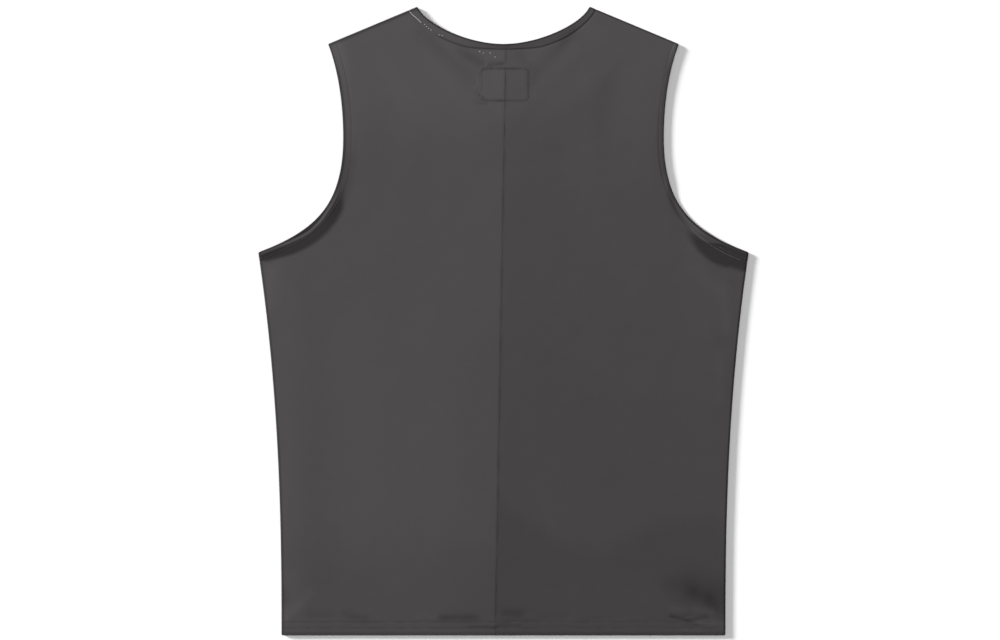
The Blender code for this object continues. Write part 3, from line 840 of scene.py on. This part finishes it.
# %% Make the back's halves
BACKS = {-1: "back_left", 1: "back_right"}
SEAM_PRESS = 0.00003
SEAM_DITCHES = ((0.00008, 0.0010), (0.00004, 0.0045))
BACK_CENTRE = np.concatenate(((0.0, 0.00035, 0.0008, 0.0014), np.arange(0.002, 0.0315, 0.001)))
BACK_EDGE = np.array((0.0300, 0.0250, 0.0205, 0.0165, 0.0130, 0.0100, 0.0078, 0.0060, 0.0047, 0.0037))
BACK_COLUMNS = (BACK_CENTRE, BACK_EDGE, 44)


def back_centre(side):
    return lambda y: seam_x(y) * side - SEAM_PRESS


def sink_at_seam(mesh, side):
    """Lets the cloth down into the seam, unevenly, as its stitches pull it."""
    places = np.zeros(len(mesh.vertices) * 3)
    mesh.vertices.foreach_get("co", places)
    places = places.reshape(-1, 3)
    away = np.abs(places[:, 0] - seam_x(places[:, 1]))
    pull = 1.0 + 0.30 * np.sin(places[:, 1] / 0.0043 + side) + 0.25 * np.sin(places[:, 1] / 0.0117 + 2.0)
    for depth, width in SEAM_DITCHES:
        places[:, 2] -= depth * pull * hill(away, width)
    mesh.vertices.foreach_set("co", places.reshape(-1))
    mesh.update()


cloth_pieces = {}
for side, name in BACKS.items():
    mesh = half_panel(name + "_cloth", side, True, (BACK_NECK, BACK_ARMHOLE),
                      (NECK_WIDTH[side], ARM_WIDTH[side]), back_centre(side), BACK_COLUMNS, 1.0,
                      (back_shade, back_tone))
    sink_at_seam(mesh, side)
    cloth_pieces[name] = joined("sheet_" + name, [mesh])

# %% [markdown]
# ## The front
#
# The front lies underneath, face down on the table, and is one piece from side to side. Two half grids
# meet on the centre line and are merged there. Little of it shows from above, so its grid is coarser, but
# its deeper neck and armholes are what the back is pressed over.

# %% Make the front
FRONT_COLUMNS = (np.array((0.0, 0.004)), np.array((0.0240, 0.0160, 0.0100, 0.0060)), 34)
FRONT_TONE = 0.95


def front_centre(y):
    return y * 0.0


front_halves = [half_panel("front_cloth", side, False, (FRONT_NECK, FRONT_ARMHOLE[side]),
                           (NECK_BAND, ARM_BAND), front_centre, FRONT_COLUMNS, 2.0,
                           (outline_shade, even(FRONT_TONE))) for side in (-1, 1)]
cloth_pieces["front"] = joined("sheet_front", front_halves)

# %% [markdown]
# ## Bands round the neck and the armholes
#
# A cut edge of jersey curls and frays, so a strip is folded lengthwise over it and sewn down. The strip's
# outline in cross-section is a U: an outer leg, a rounded fold that is the garment's edge, and an inner
# leg. Sweeping that U along the edge gives a ring that passes round the shoulder from back to front.

# %% Sweep the bands
ARM_BANDS = {-1: "armhole_band_left", 1: "armhole_band_right"}
BAND_STEP = 0.0025
BAND_RADIUS = BAND / 2
BAND_FOLD = [(0.0, BAND_RADIUS - BAND_RADIUS * math.cos(turn), BAND_RADIUS + BAND_RADIUS * math.sin(turn))
             for turn in np.linspace(-math.pi / 2, math.pi / 2, 9)]
INNER_LEG = [(0.33, 0.0008, BAND), (0.66, 0.0004, BAND), (1.0, 0.0, BAND)]


def band_section(edge):
    """The U in cross-section, as (share of the width, offset, depth). Its outer leg swells by edge."""
    outer_leg = [(1.0, 0.0003, 0.0010), (1.0, 0.0002, 4 * edge), (1.0, -0.0001, 0.8 * edge),
                 (1.0, -0.0006, 0.0)]
    outer_leg += [(share, 0.0, -edge * math.sin(math.pi * share)) for share in np.linspace(0.88, 0.19, 11)]
    return outer_leg + BAND_FOLD + INNER_LEG


SECTIONS = {key: band_section(edge) for key, edge in ((-1, 0.00002), (1, 0.00006), ("neck", 0.00010))}
SECTION_LENGTH = len(SECTIONS[1])
FOLD_START = SECTION_LENGTH - len(BAND_FOLD) - len(INNER_LEG)
OUTER_POINT, BACK_STATION = 6, 20
print(SECTION_LENGTH, "points in the band's section")


def arm_stations(total, count):
    """Distances along an armhole's edge, closer together where it rolls over at both ends."""
    return np.concatenate((ROLL_STEPS, np.linspace(ROLL, total - ROLL, count)[1:],
                           total - ROLL_STEPS[-2::-1]))


def swept(line, widths, section, stations, inside, side, upper, looks):
    """The section laid at every station of one edge: place, shade and tone. The inner leg has no shade."""
    shade_of, tone_of = looks
    count = round(lengths(line)[-1] / BAND_STEP)
    rows = []
    for share, offset, depth in section:
        edge = trimmed(moved_in(line, share * widths + offset), inside)
        plan = at(edge, stations(lengths(edge)[-1], count))
        shade = shade_of(plan, side) * (depth < 1.5 * BAND_RADIUS)
        rows.append(np.column_stack((lay(plan, depth, side, upper, seam=0.0), shade, tone_of(plan, side))))
    return np.stack(rows, axis=1)


def band_ring(name, stretches):
    """Closes the stretches into a ring and makes it a piece of cloth."""
    ring = np.concatenate(stretches)
    ring = np.concatenate((ring, ring[:1]))
    places = ring[..., :3].copy()
    along = lengths(places[:, FOLD_START])
    round_it = np.concatenate(((0.0,), np.cumsum(np.linalg.norm(np.diff(places, axis=1), axis=2).mean(axis=0))))
    uvs = np.stack(np.broadcast_arrays(round_it[None, :], along[:, None]), axis=-1)
    mesh = grid_mesh(name, places, uvs, ring[..., 3].copy(), ring[..., 4].copy(), faces_up=True)
    on_outer_leg = mesh.polygons[OUTER_POINT + (SECTION_LENGTH - 1) * BACK_STATION]
    if on_outer_leg.normal.z < 0.0:
        mesh.flip_normals()
    return joined(name, [mesh]), float(along[-1])


# %% Shade and tone of the armholes' bands
# Painted shade outside the left band's ridge and towards its underarm.
OUTSIDE_LOSS, UNDERARM_LOSS = 0.32, 0.22
# The right band's painted light and shade changes three times: by how much, and from where to where across the
# shirt.
RIGHT_CHANGES = ((0.15, 0.180, 0.192), (-0.34, 0.212, 0.230), (0.16, 0.238, 0.250))


def arm_band_shade(points, side):
    """Painted shade on the band: the ridge along its middle stays light; below it the band turns into the sag's
    painted shade.
    """
    x, y = points.T
    own = distance_in(points, BACK_ARMHOLE)
    join = hill(distance_in(points, ARM_INNER[side]) - 0.0002, JOIN_LINE)
    if side < 0:
        lower = ramp(x, 0.192, 0.204)
        reach, strength = 0.0013 + lower * (ridge_at(points, side) - 0.0032), 0.9 + 0.1 * lower
        shaded_line = (0.72 + 0.12 * ramp(y, 0.205, 0.190)) * ramp(y, 0.118, 0.133) * ramp(y, 0.290, 0.275)
    else:
        reach, strength, shaded_line = 0.0020, 0.90 * ramp(x, 0.186, 0.206), 0.0
    outer = strength * ramp(own, reach + 0.0010, reach)
    parts = (
        np.maximum(SAG_DARK * sag(points, side), outer) * (1.0 - 0.75 * ridge(points, side)),
        shaded_line * hill(own - 0.0023, 0.0009),
        join * arm_join(points, side),
        outline_shade(points, side),
    )
    return np.max(parts, axis=0)


def arm_band_tone(points, side):
    x, own = points[:, 0], distance_in(points, BACK_ARMHOLE)
    tone = back_tone(points, side) * (1.0 + RIDGE_GAIN[side] * ridge(points, side))
    if side < 0:
        outer_edge = ridge_at(points, side) - RIDGE_WIDTH
        outside = ramp(own, outer_edge, outer_edge - 0.0008) * ramp(x, 0.192, 0.204)
        return tone * (1.0 - OUTSIDE_LOSS * outside) * (1.0 - UNDERARM_LOSS * ramp(x, 0.240, 0.258))
    return tone * sum((gain * ramp(x, start, end) for gain, start, end in RIGHT_CHANGES), 1.0)


# %% Sweep the armholes' bands
UNDER_LOOKS = (even(0.0), even(0.80))
band_lengths = {}
for side, name in ARM_BANDS.items():
    back = swept(BACK_ARMHOLE, ARM_WIDTH[side], SECTIONS[side], arm_stations, from_fold, side, True,
                 (arm_band_shade, arm_band_tone))
    under = swept(FRONT_ARMHOLE[side], ARM_BAND, SECTIONS[side], arm_stations, from_fold, side, False,
                  UNDER_LOOKS)
    cloth_pieces[name], band_lengths[name] = band_ring("sheet_" + name, [back, under[-2:0:-1]])
print("armhole rings", {name: round(value, 3) for name, value in band_lengths.items()})

# %% Sweep the neck's band
# Painted shade: how light the neck's band stays at its centre, where it is turned over.
NECK_CENTRE_TONE = 0.62


def neck_stations(total, count):
    return np.concatenate((np.linspace(total / 2, total - ROLL, count // 2), total - ROLL_STEPS[-2::-1]))


# Painted shade along the neck's band: its edge, its join and its fold.
def neck_band_shade(points, side):
    own = distance_in(points, BACK_NECK)
    join = hill(distance_in(points, NECK_INNER[side]) - 0.0001, JOIN_LINE)
    join *= neck_join(points[:, 0] * side, 0.25, 0.50)
    return np.max((ramp(own, 0.0025, 0.0013), join, outline_shade(points, side)), axis=0)


def neck_band_tone(points, side):
    """Painted shade: the band is darkest where it is turned over, at the centre, and fades out to the left
    shoulder.
    """
    x = points[:, 0] * side
    if side < 0:
        gain = (1.0 - NECK_CENTRE_TONE) * ramp(x, 0.0, -0.050)
    else:
        gain = 0.16 * ramp(x, 0.0, 0.020) + 0.15 * ramp(x, 0.080, 0.105)
    return back_tone(points, side) * (NECK_CENTRE_TONE + gain)


def neck_stretch(line, widths, upper, looks):
    left, right = (swept(line, widths[side], SECTIONS["neck"], neck_stations, from_shoulder, side, upper, looks)
                   for side in (-1, 1))
    return np.concatenate((left[:0:-1], right))


front_widths = {side: np.full(len(FRONT_NECK), NECK_BAND) for side in (-1, 1)}
neck_parts = [neck_stretch(BACK_NECK, NECK_WIDTH, True, (neck_band_shade, neck_band_tone)),
              neck_stretch(FRONT_NECK, front_widths, False, UNDER_LOOKS)[-2:0:-1]]
cloth_pieces["neck_band"], band_lengths["neck_band"] = band_ring("sheet_neck_band", neck_parts)
print("neck ring", round(band_lengths["neck_band"], 3))

# %% Give every piece its wall
for name, piece in cloth_pieces.items():
    wall = piece.modifiers.new("wall", "SOLIDIFY")
    wall.thickness = BAND_SHELL if name in band_lengths else SHELL
    wall.offset = -1.0
print("cloth", SHELL, "m thick, bands", BAND_SHELL, "m")

# %% [markdown]
# ## Stitches
#
# Thread is what tells the eye that a garment is sewn. Each stitch is one short capsule that follows the
# cloth from needle hole to needle hole, half sunk in its ditch. There are more than a thousand, so each
# has only two dozen faces. They are laid out on the same plan lines as the seams they hold.

# %% A row of stitches
PITCH = 0.0028
THREAD = 0.00021
STITCH_START, STITCH_SHARE = 0.14, 0.72
STITCH_AXIS = Matrix.Rotation(math.pi / 2, 4, "Y")


def stitch_row(bm, line, side, upper, depth=-0.00004, pitch=PITCH, thickness=THREAD):
    """Adds a stitch to bm every pitch along a line in plan, and returns how many."""
    total = lengths(line)[-1]
    count = max(1, int(total / pitch))
    starts = (np.arange(count) + STITCH_START) * total / count
    tails = lay(at(line, starts), depth, side, upper)
    heads = lay(at(line, starts + STITCH_SHARE * total / count), depth, side, upper)
    for tail, head in zip(tails, heads):
        run = Vector(head - tail)
        turn = run.to_track_quat("X", "Z").to_matrix().to_4x4()
        size = Matrix.Diagonal((run.length / 2 + thickness, thickness, thickness, 1.0))
        bmesh.ops.create_uvsphere(bm, u_segments=4, v_segments=6, radius=1.0,
                                  matrix=Matrix.Translation((tail + head) / 2) @ turn @ size @ STITCH_AXIS)
    return count


def finished_stitches(bm, name, count):
    mesh = new_mesh(name, bm)
    mesh.shade_smooth()
    print(name, count, "stitches")
    return new_object(name, mesh)


def stitch_piece(name, rows):
    """One object with the stitches of several rows, each (line, side, upper) and maybe a depth."""
    bm = bmesh.new()
    return finished_stitches(bm, name, sum(stitch_row(bm, *row) for row in rows))


# %% Lay out the rows
BAND_ROW = 0.0016
FOLD_CLEAR = 0.0016
SEAM_CLEAR, PATCH_CLEAR = 0.0012, 0.0008
UNDER_DEPTH = THREAD
PATCH_PITCH, PATCH_THREAD = 0.0019, 0.00030


def hem_lines(centre_x):
    return [np.array(((centre_x(y) + SEAM_CLEAR, y), (side_half(y) - FOLD_CLEAR, y)))
            for y in (HEM_Y + up for up in HEM_ROWS)]


def band_line(line, widths, inside):
    return trimmed(moved_in(line, widths - BAND_ROW), lambda points: inside(points) - FOLD_CLEAR)


def patch_outline(side):
    """Half the patch's stitched outline, from the seam above to the seam below, in the side's own plan."""
    turns = np.linspace(math.pi / 2, 0.0, 7)
    arc = np.column_stack((np.cos(turns), np.sin(turns))) * PATCH_CORNER
    upper = arc + PATCH_HALF - PATCH_CORNER
    lower = upper[::-1] * (1.0, -1.0)
    start = seam_x(PATCH_CENTRE[1]) * side + PATCH_CLEAR - PATCH_CENTRE[0] * side
    outline = np.vstack(((start, PATCH_HALF[1]), upper, lower, (start, -PATCH_HALF[1])))
    return outline + (PATCH_CENTRE[0] * side, PATCH_CENTRE[1])


stitches = {}
for side, name in BACKS.items():
    rows = [(line, side, True) for line in hem_lines(back_centre(side))]
    rows.append((patch_outline(side), side, True, -PATCH_THREAD / 4, PATCH_PITCH, PATCH_THREAD))
    stitches[name] = stitch_piece("stitches_" + name, rows)
rows = [(line, side, False, UNDER_DEPTH) for side in (-1, 1) for line in hem_lines(front_centre)]
stitches["front"] = stitch_piece("stitches_front", rows)

for side, name in ARM_BANDS.items():
    rows = [(band_line(BACK_ARMHOLE, ARM_WIDTH[side], from_fold), side, True),
            (band_line(FRONT_ARMHOLE[side], ARM_BAND, from_fold), side, False, UNDER_DEPTH)]
    stitches[name] = stitch_piece("stitches_" + name, rows)

# %% Stitches of the neck
def neck_half(line, widths):
    """The +X half of a neckline's stitched row."""
    row = band_line(line, widths, from_shoulder)
    total = lengths(row)[-1]
    return at(row, np.linspace(total / 2, total, 40))


rows = [(neck_half(BACK_NECK, NECK_WIDTH[side]), side, True) for side in (-1, 1)]
rows += [(neck_half(FRONT_NECK, NECK_BAND), side, False, UNDER_DEPTH) for side in (-1, 1)]
stitches["neck_band"] = stitch_piece("stitches_neck_band", rows)

# %% The pale thread ends
# Where the neck's band was sewn on, a lighter thread shows at the left shoulder and in a few loose specks.
PALE_RUN = np.array(((0.1049, 0.3463), (0.1010, 0.3424), (0.0965, 0.3386), (0.0918, 0.3341)))
PALE_DOTS = ((-0.0881, 0.3322), (-0.0859, 0.3299), (-0.0836, 0.3277), (-0.0808, 0.3260), (-0.0718, 0.3204),
             (-0.0685, 0.3196), (-0.0264, 0.3020), (-0.0224, 0.3003), (-0.0146, 0.3003), (-0.0090, 0.2958))
PALE_DOT = 0.0010
PALE_DEPTH, PALE_PITCH, PALE_THREAD = -0.0002, 0.0016, 0.00042


def pale_stitches(name):
    bm = bmesh.new()
    count = stitch_row(bm, PALE_RUN, -1, True, PALE_DEPTH, PALE_PITCH, PALE_THREAD)
    for x, y in PALE_DOTS:
        dot = np.array(((abs(x) + PALE_DOT / 2, y + PALE_DOT / 4), (abs(x) - PALE_DOT / 2, y - PALE_DOT / 4)))
        count += stitch_row(bm, dot, -1, True, PALE_DEPTH, PALE_DOT, PALE_THREAD)
    return finished_stitches(bm, name, count)


pale_thread = pale_stitches("stitches_pale")

# %% The lighter stitches of the right armhole
# Below the fold of the right armhole's band its row of stitches is lighter.
LIGHTER_ROW = ((0.2060, 0.2170, 0.2290, 0.2420, 0.2540, 0.2690),
            (0.0072, 0.0081, 0.0095, 0.0107, 0.0113, 0.0113))
LIGHTER_START, LIGHTER_END = 0.2090, 0.2660
LIGHTER_DEPTH, LIGHTER_PITCH = -0.00012, 0.0022


def in_lighter_stretch(points):
    """Positive between the lighter row's two ends, and never on the armhole's upper half."""
    x, y = points.T
    return np.minimum(x - LIGHTER_START - 9.0 * np.maximum(y - 0.12, 0.0), LIGHTER_END - x)


lighter_line = trimmed(moved_in(BACK_ARMHOLE, np.interp(BACK_ARMHOLE[:, 0], *LIGHTER_ROW)), in_lighter_stretch)
lighter_thread = stitch_piece("stitches_lighter", [(lighter_line, 1, True, LIGHTER_DEPTH, LIGHTER_PITCH)])

# %% [markdown]
# ## Shader maths
#
# A finish is easier to read as sums and products than as a list of nodes. This class wraps one socket, so
# that an expression on wires adds the Math nodes it needs, and its node method adds any other node.

# %% A wire between nodes
class Wire:
    """One output of a material's nodes. Expressions on wires add Math nodes."""

    def __init__(self, tree, socket=None):
        self.tree, self.socket = tree, socket

    def plug(self, node, sockets):
        """Gives a node's sockets their values or links."""
        for key, value in dict(sockets).items():
            if isinstance(value, Wire):
                self.tree.links.new(value.socket, node.inputs[key])
            else:
                node.inputs[key].default_value = value

    def node(self, kind, settings=(), sockets=(), output=0):
        """Adds a node: its settings first, then the values or links of its sockets."""
        new = self.tree.nodes.new("ShaderNode" + kind)
        for name, value in dict(settings).items():
            setattr(new, name, value)
        self.plug(new, sockets)
        return Wire(self.tree, new.outputs[output])

    def split(self):
        """The first two parts of this vector."""
        first = self.node("SeparateXYZ", (), {0: self})
        return first, Wire(self.tree, first.socket.node.outputs[1])

    def math(self, operation, *values):
        return self.node("Math", {"operation": operation}, enumerate(values))

    def __add__(self, other):
        return self.math("ADD", self, other)

    def __sub__(self, other):
        return self.math("SUBTRACT", self, other)

    def __rsub__(self, other):
        return self.math("SUBTRACT", other, self)

    def __mul__(self, other):
        return self.math("MULTIPLY", self, other)

    __radd__ = __add__
    __rmul__ = __mul__

    def wave(self, pitch):
        """A sine along this wire, from -1 to 1, with this length of wave."""
        return (self * (2.0 * math.pi / pitch)).math("SINE")

    def blend(self, first, second):
        """The first colour where this wire is 0, the second where it is 1."""
        return self.node("Mix", {"data_type": "RGBA"}, {0: self, 6: first, 7: second}, output=2)

    def bump(self, strength, distance):
        return self.node("Bump", (), {"Height": self, "Strength": strength, "Distance": distance})


def finish(name, looks):
    """A material of this name. looks takes a first wire and returns the shader's sockets."""
    material = bpy.data.materials.new(name)
    material.use_nodes = True
    start = Wire(material.node_tree)
    start.plug(material.node_tree.nodes["Principled BSDF"], looks(start))
    return material


def lifted(colour, amount):
    return tuple(value * amount for value in colour[:3]) + (1.0,)


# %% [markdown]
# ## Jersey
#
# Jersey is knitted: fine ribs of loops run up the cloth, about a millimetre apart, and the yarn is dyed
# in the piece, so its colour wanders softly over a hand's breadth and from loop to loop. The pattern is
# drawn in the cloth's own flat plan, which is its UV map in metres, so it follows every fold and hem. The
# tone attribute gives the broad steps of painted light and shade between and across the pieces, and the
# shade attribute the painted shade of the dark fine lines.

# %% The knitted finish
# How dark the colour gets where the painted shade is full.
PAINTED_SHADE_LEVEL = 0.34
WALE, COURSE = 0.0010, 0.0008
BAND_WALE, BAND_COURSE = 0.0011, 0.0009
# Scale and detail of three noises: over a hand's breadth, over a thumb's, and from loop to loop.
CLOUDS = ((7.0, 3.0), (60.0, 3.0), (900.0, 2.0))
MOTTLES = (0.06, 0.07, 0.16)
KNIT_BUMP = (0.35, 0.00012)
RIB_WANDER, COURSE_LEAN = 0.0002, 0.15
RIB_SHARE, COURSE_SHARE, YARN_SHARE = 0.5, 0.3, 1.2
CHARCOAL = (0.0597, 0.0546, 0.0562, 1.0)


def jersey(name, wale=WALE, course=COURSE):
    """The dyed jersey, darkened and lightened by the painted light and shade in the tone and shade attributes
    of its piece.
    """
    def looks(start):
        plan = start.node("UVMap", {"uv_map": "cloth"})
        across_it, along_it = plan.split()
        shade, tone = (start.node("Attribute", {"attribute_name": attribute}, output=2)
                       for attribute in ("shade", "tone"))
        clouds = [plan.node("TexNoise", {"noise_dimensions": "2D"},
                            {"Vector": plan, "Scale": scale, "Detail": detail, "Roughness": 0.6})
                  for scale, detail in CLOUDS]
        broad, patchy, yarn = ((cloud - 0.5) * amount for cloud, amount in zip(clouds, MOTTLES))
        mottle, yarn = broad + patchy + yarn, clouds[-1]
        ribs = (across_it + (yarn - 0.5) * RIB_WANDER).wave(wale)
        courses = (along_it + across_it * COURSE_LEAN).wave(course)
        loops = ribs * RIB_SHARE + courses * COURSE_SHARE + (yarn - 0.5) * YARN_SHARE
        level = (tone + mottle) * (1.0 - shade * (1.0 - PAINTED_SHADE_LEVEL))
        return {"Base Color": (level * 0.5).blend((0.0, 0.0, 0.0, 1.0), lifted(CHARCOAL, 2.0)),
                "Roughness": 0.86 + (yarn - 0.5) * 0.10 + shade * 0.05,
                "Normal": loops.bump(*KNIT_BUMP),
                "Specular IOR Level": 0.20, "Sheen Weight": 0.06, "Sheen Roughness": 0.55,
                "Sheen Tint": (0.9, 0.88, 0.88, 1.0)}

    return finish(name, looks)


cloth_finish = {name: jersey("jersey_" + name) for name in (*BACKS.values(), "front")}
band_finish = jersey("jersey_band", BAND_WALE, BAND_COURSE)
print("jersey finishes", len(cloth_finish) + 1)

# %% [markdown]
# ## Thread
#
# Sewing thread is two or three plies twisted together, smoother than the cloth and a little lighter, so
# it catches the light at the top of each stitch. The twist is a fine slanted wave in the thread's own
# place on the shirt.

# %% The thread's finish
TWIST = 0.0005
PLY_BUMP = (0.4, 0.00006)


def thread(name, colour):
    def looks(start):
        place = start.node("TexCoord", output=3)
        noise = place.node("TexNoise", (), {"Vector": place, "Scale": 700.0, "Detail": 2.0})
        across_it, along_it = place.split()
        return {"Base Color": noise.blend(lifted(colour, 0.75), lifted(colour, 1.25)),
                "Normal": (across_it + along_it).wave(TWIST).bump(*PLY_BUMP),
                "Roughness": 0.62, "Specular IOR Level": 0.35}

    return finish(name, looks)


thread_finish = thread("thread_dark", (0.066, 0.062, 0.064, 1.0))
pale_finish = thread("thread_pale", (0.480, 0.470, 0.465, 1.0))
lighter_finish = thread("thread_lighter", (0.160, 0.151, 0.153, 1.0))
print("threads", [each.name for each in (thread_finish, pale_finish, lighter_finish)])

# %% [markdown]
# ## Hand the pieces over to the frame
#
# Each piece stands for one of the frame's solids and rides on its single body. For every piece of cloth the
# size that it was cut to, before hems were turned and bands were folded, is worked out and printed with its
# area.

# %% Materials, nodes and cuts
TURN_UP = 0.018
HALF_CUT = 0.290
panel_cuts = {name: (HALF_CUT, LENGTH + TURN_UP) for name in BACKS.values()}
panel_cuts["front"] = (2 * CHEST_HALF, LENGTH + TURN_UP)
extra_thread = {"neck_band": [pale_thread], "armhole_band_right": [lighter_thread]}
pale_thread.data.materials.append(pale_finish)
lighter_thread.data.materials.append(lighter_finish)

for name, piece in cloth_pieces.items():
    piece.data.materials.append(cloth_finish.get(name, band_finish))
    stitches[name].data.materials.append(thread_finish)
    sewn = [stitches[name], *extra_thread.get(name, ())]
    for item in (piece, *sewn):
        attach(item, "root")
    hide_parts(name)
    area = sum(polygon.area for polygon in piece.data.polygons)
    cut = panel_cuts[name] if name in panel_cuts else (area / band_lengths[name], band_lengths[name])
    min(area, cut[0] * cut[1])
    print(name, "cut", [round(value, 3) for value in cut], "area", round(area, 4))

# %% [markdown]
# ## The floor, the light and the camera
#
# The photograph looks straight down at a white surface. A low sun from the upper left gives the soft
# shadow that the shirt's edge throws to the lower right, and a wide light overhead with a pale sky fills
# the rest without darkening the floor beside the cloth. A long lens keeps the outline free of perspective.

# %% Floor and light
FLOOR_HALF = 6.0
bm = bmesh.new()
bmesh.ops.create_grid(bm, x_segments=1, y_segments=1, size=FLOOR_HALF)
floor = new_object("floor", new_mesh("floor", bm))


def white_paper(start):
    place = start.node("TexCoord", output=3)
    grain = place.node("TexNoise", (), {"Vector": place, "Scale": 3.0, "Detail": 2.0})
    return {"Base Color": grain.blend((0.93, 0.93, 0.93, 1.0), (0.95, 0.95, 0.95, 1.0)),
            "Roughness": 1.0, "Specular IOR Level": 0.0}


floor.data.materials.append(finish("white_floor", white_paper))


def light(name, direction, energy, angle):
    """A sun lamp that shines in this direction, as soft as its angle."""
    data = bpy.data.lights.new(name, "SUN")
    data.energy, data.angle = energy, math.radians(angle)
    lamp = new_object(name, data)
    lamp.rotation_mode = "QUATERNION"
    lamp.rotation_quaternion = Vector(direction).to_track_quat("-Z", "Y")
    return lamp


SHADOW_RUN = (0.0109, -0.0049, -0.00478)
SKY = 0.14
STRAIGHT_DOWN = (0.0, 0.0, -1.0)
sun = light("sun", SHADOW_RUN, energy=4.9, angle=13.0)
overhead = light("overhead", STRAIGHT_DOWN, energy=1.20, angle=40.0)

sky = bpy.data.worlds.new("sky")
sky.use_nodes = True
Wire(sky.node_tree).plug(sky.node_tree.nodes["Background"], {"Color": (1.0, 1.0, 1.0, 1.0), "Strength": SKY})
bpy.context.scene.world = sky
bpy.context.scene.view_settings.view_transform = "Standard"
print("sun", sun.data.energy, "overhead", overhead.data.energy, "sky", SKY)

# %% The camera
VIEW_WIDTH = 1.12245
VIEW_CENTRE = (-0.0039, 0.0011)
LENS, CLIP_END = 100.0, 50.0
camera = new_object("camera", bpy.data.cameras.new("camera"))
camera.data.lens, camera.data.clip_end = LENS, CLIP_END
distance = VIEW_WIDTH * LENS / camera.data.sensor_width
camera.location = (*VIEW_CENTRE, distance)
bpy.context.scene.camera = camera
print("camera", round(distance, 3), "m above the floor")
